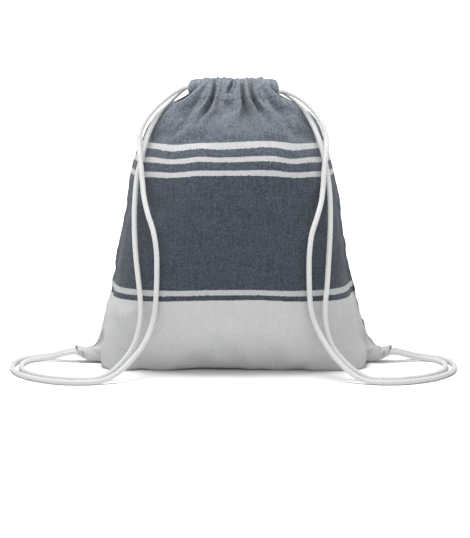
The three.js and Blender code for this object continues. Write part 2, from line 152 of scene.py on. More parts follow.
# Cloth height: depth and height on the centre line. This and what follows is in millimetres.
CENTRE_LINE = metres((
    (0, 0, 0), (46, 46, 0), (52, 50.5, 3.5), (61, 55, 12), (77, 63, 26), (97.7, 73, 44),
    (128, 85, 72), (145, 88.5, 88.5), (158, 90, 101.4), (200, 91.8, 143), (245, 90.2, 187.5),
    (272, 87, 214), (286, 84.3, 227.7), (301, 79.8, 241.9), (317, 73.6, 256), (324.5, 69.5, 262.5),
    (345, 57.5, 278), (370, 41.5, 292.5), (384, 34, 300), (395, 28.5, 307), (402, 25.2, 313),
    (412, 19.6, 322.8), (420, 13, 328.2), (424, 8.5, 329.5), (429, 5.2, 327.5), (436, 4.4, 321.5),
    (445, 4.8, 312.5), (450, 8.5, 309), (457, 15, 306.8),
))
# Cloth height: half width and height where the front and back cloth meet at the side.
SIDE_LINE = metres((
    (0, 171.5, 2.5), (12, 171.5, 4.5), (24, 171.5, 10), (36, 171.5, 15), (45, 171, 17.8),
    (52, 165.5, 19.2), (61, 160, 24), (77, 155, 35.5), (97.7, 150.5, 50), (122, 146.5, 66),
    (145, 141.8, 82.8), (158, 139.2, 96.9), (200, 131.6, 137.8), (245, 124.6, 181.6),
    (289, 117.4, 224.5), (304, 113.2, 239.7), (320, 108, 255), (332, 103.3, 265.5),
    (345, 98.5, 276), (358, 90.5, 286), (370, 80.5, 294.5), (382, 67, 302.5), (395, 53.5, 310.5),
    (408, 42, 320.5), (420, 34, 329.5), (424, 34, 330.5), (429, 35, 328), (436, 40, 321),
    (445, 47, 313), (457, 51.5, 310.5),
))
# In metres. Cloth height: squareness of the section, ear thickness, how open the ear's end is,
# the body's share of the half width, where the side starts to lift, and the side slit's gap.
SECTION = (
    (0.0, 5.0, 0.0, 0.0, 0.875, 0.80, 0.0), (0.012, 5.0, 0.0074, 1.0, 0.875, 0.80, 0.0),
    (0.024, 5.0, 0.0096, 1.0, 0.875, 0.80, 0.0), (0.036, 5.0, 0.0074, 1.0, 0.875, 0.80, 0.0),
    (0.045, 4.8, 0.005, 0.0, 0.885, 0.80, 0.0), (0.052, 4.6, 0.004, 0.0, 0.92, 0.80, 0.0),
    (0.061, 4.4, 0.003, 0.0, 0.955, 0.78, 0.0), (0.077, 4.1, 0.0015, 0.0, 0.985, 0.66, 0.0),
    (0.0977, 3.5, 0.0, 0.0, 1.0, 0.45, 0.0), (0.128, 3.0, 0.0, 0.0, 1.0, 0.2, 0.0),
    (0.158, 2.6, 0.0, 0.0, 1.0, 0.08, 0.0), (0.200, 2.35, 0.0, 0.0, 1.0, 0.05, 0.0),
    (0.286, 2.2, 0.0, 0.0, 1.0, 0.05, 0.0), (0.345, 2.2, 0.0, 0.0, 1.0, 0.1, 0.0),
    (0.370, 2.2, 0.0, 0.0, 1.0, 0.2, 0.007), (0.384, 2.3, 0.0, 0.0, 1.0, 0.25, 0.0125),
    (0.395, 2.4, 0.0, 0.0, 1.0, 0.3, 0.0168), (0.412, 2.6, 0.0, 0.0, 1.0, 0.3, 0.0160),
    (0.420, 2.6, 0.0, 0.0, 1.0, 0.3, 0.0112),
    (0.424, 2.6, 0.0, 0.0, 1.0, 0.3, 0.0078), (0.429, 2.6, 0.0, 0.0, 1.0, 0.3, 0.0048),
    (0.445, 2.6, 0.0, 0.0, 1.0, 0.3, 0.0042), (0.457, 2.6, 0.0, 0.0, 1.0, 0.3, 0.0125),
)
# Gather creases: (cloth height, place across, depth, half width) down each one's length.
CREASES = {name: metres(path) for name, path in {
    "left": (
        (326, -48, 0, 7), (345, -43, 1.6, 5.5), (362, -37, 3.2, 4), (380, -29.5, 5, 2.8),
        (395, -24.8, 6, 2.1), (408, -21.5, 4.5, 1.8), (424, -18.5, 2.2, 1.6),
    ),
    "middle": (
        (322, 22, 0, 8), (345, 19, 1.6, 6), (362, 16.5, 3.6, 4.6), (375, 14.8, 5.8, 3.4),
        (386, 13, 7.2, 2.6), (395, 11.8, 7.2, 2), (408, 10.6, 5.2, 1.6), (424, 9.7, 2.6, 1.4),
    ),
    "right": (
        (335, 46, 0, 7), (350, 40, 1.4, 5), (363, 34.8, 2.6, 3.6), (378, 29, 4, 2.6),
        (390, 24.6, 5.2, 2), (400, 22, 5, 1.7), (412, 19.6, 3.2, 1.5), (424, 18, 1.8, 1.4),
    ),
    "notch": (
        (403, -6.5, 0, 2.5), (409, -4.6, 3, 1.5), (415, -1.5, 3.6, 1.3), (424, 1, 2, 1.2),
    ),
    "left_shoulder": (
        (330, -74, 0, 10), (350, -64, 3, 9), (368, -56, 4.2, 8), (384, -46, 3.6, 6),
        (397, -38, 2.2, 4), (412, -31, 1.5, 2.5), (424, -28, 1, 2),
    ),
    "right_shoulder": (
        (330, 76, 0, 10), (350, 66, 3, 9), (368, 57, 4.2, 8), (384, 47, 3.6, 6),
        (397, 38.5, 2.2, 4), (412, 31.5, 1.5, 2.5), (424, 28.5, 1, 2),
    ),
    "left_soft": (
        (370, -41, 0, 4), (385, -35, 1.4, 2.6), (397, -31, 1.8, 2), (410, -27.5, 1.6, 1.8),
        (424, -24.5, 0.9, 1.6),
    ),
    "right_soft": (
        (372, 40, 0, 4), (385, 35, 1.4, 2.6), (397, 31, 1.8, 2.1), (410, 27, 1.5, 1.8),
        (424, 24.5, 0.9, 1.6),
    ),
    "centre_dip": (
        (335, -8, 0, 14), (360, -8, 1.6, 11), (380, -7, 2.8, 9), (391, -6, 2.8, 8),
        (396.5, -6, 0, 8),
    ),
    "small_top": (
        (400, -13.5, 0, 2), (410, -12, 1, 1.8), (424, -10.5, 0.8, 1.5),
    ),
}.items()}
CREASE_STRENGTH = 1.75
SHOULDER_SHARE = 0.38  # height of the ridges beside a crease, as a share of its depth
# Rise and fall of the stripes across the bag, where the gathers pull on them: (across, lift).
STRIPE_WAVE = metres((
    (-120, 0), (-91, 1.2), (-68, -1.8), (-39, 1.3), (-13, -1.3), (10, -0.4), (42, 1.3), (66, -1.8),
    (89, 1.2), (120, 0),
))
# Woven stripes: (cloth height where it starts, name of its colour).
WOVEN_STRIPES = (
    (0.0, "pale"), (0.145, "dark"), (0.152, "stripe"), (0.158, "dark"), (0.286, "stripe"),
    (0.292, "dark"), (0.301, "stripe"), (0.307, "dark"), (0.317, "stripe"), (0.3245, "dark"),
)

LOWER_ROWS, UPPER_ROWS, HEM_ROWS = 126, 46, 52
COLUMNS = 148
HEM_END = 0.457  # cloth height at the hem's turned-in edge, measured round the casing
SEED = 7


# ---- settings that a user would change --------------------------------------------------------


def length(name, description, default, low, high):
    return FloatProperty(
        name=name, description=description, default=default, min=low, max=high, unit="LENGTH",
    )


def colour(name, description, default):
    return FloatVectorProperty(
        name=name, description=description, subtype="COLOR", default=default,
        size=3, min=0.0, max=1.0,
    )


class ClothSettings(bpy.types.PropertyGroup):
    """Sizes and colours of the bag's cloth."""

    flat_width: length("Flat width", "Width of a panel before stuffing", 0.37, 0.2, 0.6)
    hem_line: length("Hem line", "Cloth height of the casing's stitch line", 0.395, 0.2, 0.6)
    flat_height: length("Flat height", "Cloth height of the casing's top fold", 0.42, 0.2, 0.7)
    thickness: length("Thickness", "Thickness of the cloth", 0.0008, 0.0002, 0.003)
    thread_pitch: length(
        "Thread pitch", "Distance between two threads of the weave", 0.0009, 0.0003, 0.004,
    )
    dark: colour("Dark cloth", "Slate blue of the main field", (0.044, 0.055, 0.071))
    pale: colour("Pale cloth", "Pale grey of the lower part", (0.49, 0.50, 0.495))
    stripe: colour("Stripe", "Off-white of the woven stripes", (0.43, 0.435, 0.44))


class CordSettings(bpy.types.PropertyGroup):
    """Sizes and colour of the drawstrings."""

    diameter: length("Diameter", "Diameter of the braided cord", 0.006, 0.002, 0.012)
    braid_pitch: length("Braid pitch", "Length of one crossing of the braid", 0.003, 0.001, 0.01)
    braid_depth: length(
        "Braid depth", "Depth of the grooves between the strands", 0.00018, 0.0, 0.001,
    )
    crossings: IntProperty(
        name="Crossings", description="Braid crossings round the cord", default=8, min=4, max=24,
    )
    colour: colour("Cord", "Natural white of the cotton cord", (0.57, 0.575, 0.57))


class StitchSettings(bpy.types.PropertyGroup):
    """Sizes and colours of the sewing."""

    length: length("Stitch length", "Length of a stitch with its gap", 0.0032, 0.001, 0.01)
    thread: length("Thread", "Diameter of the sewing thread", 0.0006, 0.0002, 0.002)
    dark: colour("Dark thread", "Thread of the dark cloth", (0.045, 0.058, 0.075))
    pale: colour("Pale thread", "Thread of the pale cloth", (0.52, 0.53, 0.52))


class StageSettings(bpy.types.PropertyGroup):
    """Camera and light."""

    elevation: FloatProperty(
        name="Elevation", description="Camera height above the horizon", subtype="ANGLE",
        default=math.radians(9.5), min=0.0, max=1.5,
    )
    distance: length("Distance", "Camera distance from the bag", 2.2, 0.5, 10.0)
    key_power: FloatProperty(
        name="Key light", description="Power of the overhead soft light", default=30.0,
        min=0.0, max=200.0, unit="POWER",
    )
    fill_power: FloatProperty(
        name="Fill light", description="Power of the front soft light", default=5.5,
        min=0.0, max=200.0, unit="POWER",
    )
    sky: FloatProperty(
        name="Surround", description="Strength of the white surround", default=0.42,
        min=0.0, max=5.0,
    )


# ---- shape helpers --------------------------------------------------------------------------


def smoothstep(low, high, value):
    share = np.clip((value - low) / (high - low), 0.0, 1.0)
    return share * share * (3 - 2 * share)


def smooth_table(table, heights):
    """Read every column of a table at these heights, along curves that never overshoot its rows."""
    rows = np.array(table, float)
    at, values = rows[:, 0], rows[:, 1:]
    step = np.diff(at)[:, None]
    slope = np.diff(values, axis=0) / step
    tangent = np.zeros_like(values)
    tangent[0], tangent[-1] = slope[0], slope[-1]
    before, after = 2 * step[1:] + step[:-1], step[1:] + 2 * step[:-1]
    turning = slope[:-1] * slope[1:] <= 0
    safe = [np.where(turning, 1.0, part) for part in (slope[:-1], slope[1:])]
    inner = (before + after) / (before / safe[0] + after / safe[1])
    tangent[1:-1] = np.where(turning, 0.0, inner)
    index = np.clip(np.searchsorted(at, heights, side="right") - 1, 0, len(at) - 2)
    part = np.clip((heights - at[index]) / step[index, 0], 0.0, 1.0)[:, None]
    start, end, width = values[index], values[index + 1], step[index]
    return (
        (1 + 2 * part) * (1 - part) ** 2 * start
        + part * (1 - part) ** 2 * width * tangent[index]
        + part**2 * (3 - 2 * part) * end
        + part**2 * (part - 1) * width * tangent[index + 1]
    )


class SmoothNoise:
    """Smooth random waves over a plane, the same in every run."""

    SIZE = 64

    def __init__(self, seed):
        self.values = np.random.default_rng(seed).uniform(-1, 1, (self.SIZE, self.SIZE))

    def __call__(self, across, along):
        across, along = np.broadcast_arrays(across, along)
        column, row = np.floor(across).astype(int), np.floor(along).astype(int)
        fx, fy = across - column, along - row
        fx, fy = fx**3 * (fx * (6 * fx - 15) + 10), fy**3 * (fy * (6 * fy - 15) + 10)
        pick = lambda r, c: self.values[r % self.SIZE, c % self.SIZE]
        low = pick(row, column) * (1 - fx) + pick(row, column + 1) * fx
        high = pick(row + 1, column) * (1 - fx) + pick(row + 1, column + 1) * fx
        return low * (1 - fy) + high * fy


def unit(vectors):
    return vectors / np.maximum(np.linalg.norm(vectors, axis=-1, keepdims=True), 1e-12)


def distances(path):
    """How far along a path each of its points lies."""
    return np.concatenate([[0], np.cumsum(np.linalg.norm(np.diff(path, axis=0), axis=1))])


def read_at(wanted, at, rows):
    """Values of rows of three, read between the places that they stand for."""
    return np.stack([np.interp(wanted, at, rows[:, k]) for k in range(3)], axis=1)


def grid_mesh(name, points, uv, flip=False, closed=False):
    """A mesh over rows of points. With closed, each row runs on into its own first point."""
    rows, columns = points.shape[:2]
    index = np.arange(rows * columns).reshape(rows, columns)
    if closed:
        index = np.concatenate([index, index[:, :1]], axis=1)
    quads = np.stack([index[:-1, :-1], index[:-1, 1:], index[1:, 1:], index[1:, :-1]], axis=-1)
    corner_uv = np.stack([uv[:-1, :-1], uv[:-1, 1:], uv[1:, 1:], uv[1:, :-1]], axis=-2)
    if flip:
        quads, corner_uv = quads[..., ::-1], corner_uv[..., ::-1, :]
    mesh = bpy.data.meshes.new(name)
    mesh.from_pydata(points.reshape(-1, 3).tolist(), [], quads.reshape(-1, 4).tolist())
    layer = mesh.uv_layers.new(name="UVMap")
    layer.data.foreach_set("uv", np.ascontiguousarray(corner_uv, np.float32).ravel())
    mesh.polygons.foreach_set("use_smooth", np.ones(len(mesh.polygons), bool))
    mesh.update()
    return mesh


def new_object(name, mesh, material):
    obj = bpy.data.objects.new(name, mesh)
    mesh.materials.clear()
    if material is not None:
        mesh.materials.append(material)
    bpy.context.scene.collection.objects.link(obj)
    return obj


def joined(name, meshes, material):
    """One object made of several meshes."""
    parts = [new_object(f"{name} part {i}", mesh, material) for i, mesh in enumerate(meshes)]
    with bpy.context.temp_override(
        active_object=parts[0], object=parts[0], selected_objects=parts,
        selected_editable_objects=parts,
    ):
        bpy.ops.object.join()
    parts[0].name = parts[0].data.name = name
    return parts[0]


def thicken(obj, thickness):
    """Give a single layer of cloth its thickness, towards the inside."""
    wall = obj.modifiers.new("Cloth thickness", "SOLIDIFY")
    wall.thickness = thickness
    wall.offset = -1
    return obj


# ---- the cloth's surface ----------------------------------------------------------------------

SEAM_HALF = 0.00008  # each panel's outer face stands this far from the seam between them
PROFILE_POINTS = 420
RIGHT_SIDE_SHARE = 0.986  # the bag leans a little, so its right side is narrower
CORD_ROOM = 0.0136  # least depth of the casing's outer face over the cord that runs in it
EAR_SPAN, EAR_END_POWER = (0.6, 0.95), 20  # where the ear thickens, and how suddenly it ends
LEAN_SPAN = (0.05, 0.10)  # cloth heights over which the lean sets in


def plain_rows(heights, fractions, face):
    """The panel before its folds: points for each cloth height and each share of the half width."""
    depth, middle_z = smooth_table(CENTRE_LINE, heights).T[:, :, None]
    half_width, side_z = smooth_table(SIDE_LINE, heights).T[:, :, None]
    power, ear, opening, share, lift, gap = smooth_table(SECTION, heights).T[:, :, None]
    across = np.sin(np.linspace(0, math.pi / 2, PROFILE_POINTS))[None, :]
    profile = (1 - np.clip(across / share, 0, 1) ** power) ** (1 / power)
    ear_end = opening + (1 - opening) * np.sqrt(1 - across**EAR_END_POWER)
    y = SEAM_HALF + gap + (depth - gap) * profile
    y = y + ear * ear_end * smoothstep(*EAR_SPAN, across)
    x = across * half_width
    z = middle_z + (side_z - middle_z) * smoothstep(lift, 1, across)
    steps = np.sqrt(np.diff(x) ** 2 + np.diff(y) ** 2 + np.diff(z) ** 2)
    run = np.concatenate([np.zeros_like(steps[:, :1]), np.cumsum(steps, axis=1)], axis=1)
    wanted = np.abs(fractions)
    points = np.empty((len(heights), len(fractions), 3))
    for row in range(len(heights)):
        along = run[row] / run[row, -1]
        points[row] = np.stack([np.interp(wanted, along, part[row]) for part in (x, y, z)], axis=-1)
    side_scale = np.where(fractions > 0, RIGHT_SIDE_SHARE, 1.0)[None, :]
    above_ear = smoothstep(*LEAN_SPAN, heights)[:, None]
    points[..., 0] *= np.sign(fractions)[None, :] * (1 + (side_scale - 1) * above_ear)
    points[..., 1] *= face
    return points


def outward(points, face):
    """Unit normals of a panel's rows that point away from the inside of the bag."""
    across = np.gradient(points, axis=1)
    along = np.gradient(points, axis=0)
    return unit(np.cross(across, along)) * (1 if face < 0 else -1)


# The back's creases are the front's seen from the other side, a little closer together.
BACK_SHARE, BACK_SHIFT = -0.9, 0.002
RIDGE_PLACE, RIDGE_WIDTH = 2.3, 1.25  # the ridges beside a crease, in half widths of it


def crease_depth(heights, x, face):
    """How far the gathers' folds push the cloth out (positive) or in."""
    total = np.zeros_like(x)
    for path in CREASES.values():
        place, depth, width = smooth_table(path, heights).T[:, :, None]
        if face > 0:
            place = BACK_SHARE * place + BACK_SHIFT
        beyond = (heights < path[0][0]) | (heights > path[-1][0])
        depth = np.where(beyond, 0.0, depth[:, 0])[:, None] * CREASE_STRENGTH
        off = (x - place) / width
        total -= depth * np.exp(-(off**2))
        ridge = np.exp(-(((np.abs(off) - RIDGE_PLACE) / RIDGE_WIDTH) ** 2))
        total += SHOULDER_SHARE * depth * ridge
    return total


BROAD_WAVE, SMALL_WAVE = 0.0026, 0.0009  # heights of the folds, in metres
PUCKER, CORNER_PULL, GATHER_WAVE = 0.0011, 0.0012, 0.0007
PUCKER_REACH = 0.055  # how far in from the side seam the puckers go, as a share of the half width


def soft_folds(heights, fractions, face):
    """The slack of stuffed cloth: broad waves, pulls at the corners, and puckers at the seams.

    Each kind reads the noise in a place of its own, stretched to its own length of wave.
    """
    noise = SmoothNoise(SEED + (0 if face < 0 else 1))
    t, f = heights[:, None], fractions[None, :]
    body = smoothstep(0.02, 0.07, t) * smoothstep(0.41, 0.36, t)
    lean = t * 15.0 + 0.8 * f
    waves = BROAD_WAVE * noise(f * 2.6 + 9.3, lean + 4.1)
    waves = waves + SMALL_WAVE * noise(f * 6 + 2.7, t * 27 + 8.2)
    edge = np.exp(-(1 - np.abs(f)) / PUCKER_REACH)
    pucker = PUCKER * noise(f * 3.0 + 21.7, t * 92.0 + 3.3) * edge
    corner = smoothstep(0.66, 0.86, np.abs(f)) * smoothstep(0.15, 0.05, t)
    off = np.abs(f)
    pull = CORNER_PULL * noise(off * 9.0 + t * 60.0 + 5.5, t * 22.0 - off * 4.0 + 1.9) * corner
    gathers = smoothstep(0.33, 0.385, t) * GATHER_WAVE * noise(f * 13.0 + 3.1, t * 14.0 + 7.7)
    return (waves + pucker + pull) * body + gathers


RUN_FOOT, RUN_HEAD = (0.300, 0.309), (0.328, 0.3245)  # heights between which the runs lie
RUN_SOFT, RUN_LINING = 0.0006, 0.0085  # softness of the hold, and depth that parts face and lining


def keep_clear_of_runs(points, face):
    """Hold the casing's outer face away from the cords inside it."""
    depth = points[..., 1] * face
    near = smoothstep(*RUN_FOOT, points[..., 2]) * smoothstep(*RUN_HEAD, points[..., 2])
    wanted = depth + np.log1p(np.exp((CORD_ROOM - depth) / RUN_SOFT)) * RUN_SOFT
    outer = depth > RUN_LINING
    points[..., 1] = np.where(outer, depth + (wanted - depth) * near, depth) * face


# A dent's gap to its cord, radius of bend, softness, and reach from the cord's middle line.
DENT_GAP, DENT_BEND, DENT_SOFT, DENT_REACH = 0.0004, 0.006, 0.0004, 0.011
DENT_STEP = 0.0015  # between places looked up
DENT_STEEPEST = 40.0
DENT_ASIDE, DENT_TOP = 0.160, 0.311  # the strands lie on the bag within and below these
DENT_FRONT = -0.028  # and in front of this
DENT_SHOULDER, DENT_BACK = 0.200, 0.003  # or above this height and in front of the second
strand_lookup = []


def strand_tree():
    """The strands' middle lines where they lie on the bag, to look up the nearest place on them."""
    if not strand_lookup:
        places = np.vstack([smooth_path(route, DENT_STEP)[0] for route in ROUTES.values()])
        x, y, z = places.T
        outside = (y < DENT_FRONT) | ((z > DENT_SHOULDER) & (y < DENT_BACK))
        places = places[outside & (np.abs(x) < DENT_ASIDE) & (z < DENT_TOP)]
        tree = KDTree(len(places))
        for index, place in enumerate(places):
            tree.insert(place, index)
        tree.balance()
        strand_lookup.append(tree)
    return strand_lookup[0]


def press_under_cords(points, normal):
    """Push the cloth in where a strand lies on it."""
    tree = strand_tree()
    room = bpy.context.scene.backpack_cords.diameter / 2 + DENT_GAP
    for row, column in np.ndindex(points.shape[:2]):
        here = Vector(points[row, column])
        place, _, far = tree.find(here)
        if far > DENT_REACH:
            continue
        out = Vector(normal[row, column])
        away = here - place
        below = -away.dot(out)
        aside_squared = max(away.length_squared - below * below, 0.0)
        short = room - aside_squared / (2 * DENT_BEND) - below
        push = DENT_SOFT * math.log1p(math.exp(min(short / DENT_SOFT, DENT_STEEPEST)))
        points[row, column] -= np.array(out) * push


TOP_EDGE_BUMP = 0.0012
TOP_NOISE = SmoothNoise(SEED + 5)
TOP_EDGE_PITCH, TOP_EDGE_ROW = 0.0062, 3.5
TOP_EDGE_START = {-1: 5.0, 1: 17.0}  # where in the noise the front's and the back's edge lie
CROWN_RISE, CROWN_FALL = (0.405, 0.420), (0.436, 0.426)  # cloth heights of the casing's top edge
FOLD_END = (0.418, 0.430)  # cloth heights over which the folds die out into the turned-in hem
LEAST_SEAM = 0.6  # how near the seam's middle the cloth may come, as a share of SEAM_HALF
WAVE_HEIGHTS, WAVE_SHARES = (0.270, 0.289, 0.320, 0.345), (0.0, 0.3, 1.0, 0.0)
WAVE_END = (1.0, 0.85)  # the stripes' wave dies out towards the side seams


def cloth_surface(heights, fractions, face, sag=None):
    """Outer face of a panel with its folds, and its UV map in metres of cloth."""
    points = plain_rows(heights, fractions, face)
    normal = outward(points, face)
    push = crease_depth(heights, points[..., 0], face) + soft_folds(heights, fractions, face)
    fade = 1 - smoothstep(*FOLD_END, heights)[:, None]
    points = points + normal * (push * fade)[..., None]
    along_edge = points[..., 0] / TOP_EDGE_PITCH + TOP_EDGE_START[face]
    bump = TOP_EDGE_BUMP * TOP_NOISE(along_edge, TOP_EDGE_ROW)
    crown = smoothstep(*CROWN_RISE, heights) * smoothstep(*CROWN_FALL, heights)
    points[..., 2] += bump * crown[:, None]
    if sag is not None:
        points = points + sag
    keep_clear_of_runs(points, face)
    if face < 0:
        press_under_cords(points, normal)
    points[..., 1] = face * np.maximum(points[..., 1] * face, SEAM_HALF * LEAST_SEAM)
    points[..., 2] = np.maximum(points[..., 2], 0.0)
    steps = np.linalg.norm(np.diff(points, axis=1), axis=-1)
    run = np.concatenate([np.zeros_like(steps[:, :1]), np.cumsum(steps, axis=1)], axis=1)
    run -= run[:, points.shape[1] // 2][:, None]
    weight = np.interp(heights, WAVE_HEIGHTS, WAVE_SHARES)[:, None]
    across = points[..., 0] * (1 if face < 0 else BACK_SHARE)
    across = np.clip(across, STRIPE_WAVE[0][0], STRIPE_WAVE[-1][0])
    rise = weight * smooth_table(STRIPE_WAVE, across.ravel())[:, 0].reshape(across.shape)
    rise = rise * smoothstep(*WAVE_END, np.abs(fractions))[None, :]
    return points, np.stack([run, heights[:, None] - rise], axis=-1)


# ---- letting the stuffed cloth settle -----------------------------------------------------------

SETTLE_ROWS, SETTLE_COLUMNS, SETTLE_FRAMES = 88, 80, 24
SETTLE_SLACK = 0.035  # how much more cloth there is than the stuffing needs
SETTLE_PUSH = 4.0  # outward push of the stuffing
SETTLE_GAIN = 2.0  # how much deeper the folds are in this soft cloth
SETTLE_BROAD = 12  # cells over which the stuffing, and not the slack, decides the shape
SETTLE_LIMIT = 0.005  # furthest that a fold stands out or in
SETTLE_TRIM = 6  # the folds are level over the panel without a share of one in this at each side
HELD_SIDE, HELD_TOP, HELD_FOOT = (0.93, 1.0), (0.372, 0.392), (0.05, 0.02)
LIGHT_GRAVITY = 0.004
FABRIC = {
    "quality": 7, "mass": 0.001, "tension_stiffness": 25.0, "compression_stiffness": 25.0,
    "shear_stiffness": 8.0, "bending_stiffness": 0.15, "tension_damping": 15.0,
    "compression_damping": 15.0, "air_damping": 2.0, "vertex_group_mass": "Held",
    "shrink_min": -SETTLE_SLACK, "shrink_max": -SETTLE_SLACK, "use_pressure": True,
    "uniform_pressure_force": SETTLE_PUSH,
}
settled_cloth = {}


def spread_weights(coarse, fine):
    """Weights that carry values from evenly spaced places to other places, along smooth curves."""
    at = (fine - coarse[0]) / (coarse[1] - coarse[0])
    first = np.clip(np.floor(at).astype(int), 0, len(coarse) - 2)
    f = np.clip(at - first, 0, 1)
    shares = (
        -0.5 * f**3 + f**2 - 0.5 * f, 1.5 * f**3 - 2.5 * f**2 + 1,
        -1.5 * f**3 + 2 * f**2 + 0.5 * f, 0.5 * f**3 - 0.5 * f**2,
    )
    weights = np.zeros((len(fine), len(coarse)))
    for offset, share in zip((-1, 0, 1, 2), shares):
        place = np.clip(first + offset, 0, len(coarse) - 1)
        np.add.at(weights, (np.arange(len(fine)), place), share)
    return weights


def blurred(values, reach):
    """A grid of values averaged over about this many cells each way."""
    wide = 3 * reach
    weight = np.exp(-0.5 * (np.arange(-wide, wide + 1) / reach) ** 2)
    weight /= weight.sum()
    for axis in (0, 1):
        pads = [(wide, wide) if k == axis else (0, 0) for k in (0, 1)]
        padded = np.pad(values, pads, mode="edge")
        values = np.apply_along_axis(np.convolve, axis, padded, weight, "valid")
    return values


def settle(cloth, face):
    """Movement of a panel's places when slack cloth settles on its stuffing, on a coarse grid."""
    heights = np.linspace(0, cloth.hem_line, SETTLE_ROWS)
    fractions = column_fractions(SETTLE_COLUMNS)
    rest, uv = cloth_surface(heights, fractions, face)
    sheet = new_object("Settling cloth", grid_mesh("Settling cloth", rest, uv, flip=face > 0), None)
    held = np.maximum(
        smoothstep(*HELD_SIDE, np.abs(fractions))[None, :],
        np.maximum(smoothstep(*HELD_TOP, heights), smoothstep(*HELD_FOOT, heights))[:, None],
    )
    group = sheet.vertex_groups.new(name="Held")
    for index, weight in enumerate(held.ravel()):
        group.add([index], float(weight), "REPLACE")
    cloth_modifier = sheet.modifiers.new("Cloth", "CLOTH")
    for name, value in FABRIC.items():
        setattr(cloth_modifier.settings, name, value)
    cloth_modifier.settings.effector_weights.gravity = LIGHT_GRAVITY
    cloth_modifier.collision_settings.use_collision = False
    scene = bpy.context.scene
    for frame in range(1, SETTLE_FRAMES + 1):
        scene.frame_set(frame)
    evaluated = sheet.evaluated_get(bpy.context.evaluated_depsgraph_get())
    moved = np.empty(rest.size, np.float32)
    evaluated.data.vertices.foreach_get("co", moved)
    scene.frame_set(1)
    bpy.data.objects.remove(sheet)
    shift = moved.reshape(rest.shape).astype(float) - rest
    facing = outward(rest, face)
    lift = np.sum(shift * facing, axis=-1)
    lift = blurred(lift, 1) - blurred(lift, SETTLE_BROAD)
    lift -= lift[:, SETTLE_COLUMNS // SETTLE_TRIM:-SETTLE_COLUMNS // SETTLE_TRIM].mean(
        axis=1, keepdims=True
    )
    lift *= 1 - held
    return facing * (SETTLE_LIMIT * np.tanh(SETTLE_GAIN * lift / SETTLE_LIMIT))[..., None]


def settled_shift(cloth, heights, fractions, face):
    """Movement of each place of a panel from settling."""
    if face not in settled_cloth:
        settled_cloth[face] = settle(cloth, face)
    rows = spread_weights(np.linspace(0, cloth.hem_line, SETTLE_ROWS), heights)
    columns = spread_weights(column_fractions(SETTLE_COLUMNS), fractions)
    return np.einsum("rm,mnk,cn->rck", rows, settled_cloth[face], columns)


def column_fractions(count):
    return np.linspace(-1, 1, count)


GATHER_START = 0.33  # cloth height from which the rows lie closer together
finished_surfaces = {}


def finished_surface(cloth, face):
    """Points and UV map of a panel and its casing, and the row of the hem line, made once."""
    if face not in finished_surfaces:
        lower = np.linspace(0, GATHER_START, LOWER_ROWS, endpoint=False)
        upper = np.linspace(GATHER_START, cloth.hem_line, UPPER_ROWS, endpoint=False)
        heights = np.concatenate([lower, upper, np.linspace(cloth.hem_line, HEM_END, HEM_ROWS)])
        fractions = column_fractions(COLUMNS)
        shift = settled_shift(cloth, heights, fractions, face)
        finished_surfaces[face] = cloth_surface(heights, fractions, face, shift)
    return *finished_surfaces[face], LOWER_ROWS + UPPER_ROWS


# ---- cords ------------------------------------------------------------------------------------


def smooth_path(route, steps):
    """Points along a smooth curve through a route, evenly far apart."""
    points = np.array(route, float)
    ends = [2 * points[0] - points[1], 2 * points[-1] - points[-2]]
    points = np.vstack([ends[0], points, ends[1]])
    knots = np.concatenate([[0], np.cumsum(np.linalg.norm(np.diff(points, axis=0), axis=1) ** 0.5)])
    fine = []
    for i in range(1, len(points) - 2):
        k0, k1, k2, k3 = knots[i - 1 : i + 3]
        u = np.linspace(k1, k2, CORD_STEPS_PER_SPAN, endpoint=False)[:, None]
        p0, p1, p2, p3 = points[i - 1 : i + 3]
        a1 = (k1 - u) / (k1 - k0) * p0 + (u - k0) / (k1 - k0) * p1
        a2 = (k2 - u) / (k2 - k1) * p1 + (u - k1) / (k2 - k1) * p2
        a3 = (k3 - u) / (k3 - k2) * p2 + (u - k2) / (k3 - k2) * p3
        b1 = (k2 - u) / (k2 - k0) * a1 + (u - k0) / (k2 - k0) * a2
        b2 = (k3 - u) / (k3 - k1) * a2 + (u - k1) / (k3 - k1) * a3
        fine.append((k2 - u) / (k2 - k1) * b1 + (u - k1) / (k2 - k1) * b2)
    fine = np.vstack([*fine, points[-2:-1]])
    run = distances(fine)
    count = max(3, int(round(run[-1] / steps)) + 1)
    at = np.linspace(0, run[-1], count)
    return read_at(at, run, fine), run[-1]


def frames_along(path):
    """Two directions across a path at each of its points, carried along without twisting."""
    tangent = unit(np.gradient(path, axis=0))
    side = np.cross(tangent[0], (0.0, 0.0, 1.0))
    if np.linalg.norm(side) < 0.2:
        side = np.cross(tangent[0], (0.0, 1.0, 0.0))
    sides = [side / np.linalg.norm(side)]
    for here in tangent[1:]:
        carried = sides[-1] - here * np.dot(sides[-1], here)
        sides.append(carried / np.linalg.norm(carried))
    sides = np.array(sides)
    return sides, np.cross(tangent, sides)


CORD_STEP = 0.00075
CORD_SIDES = 32


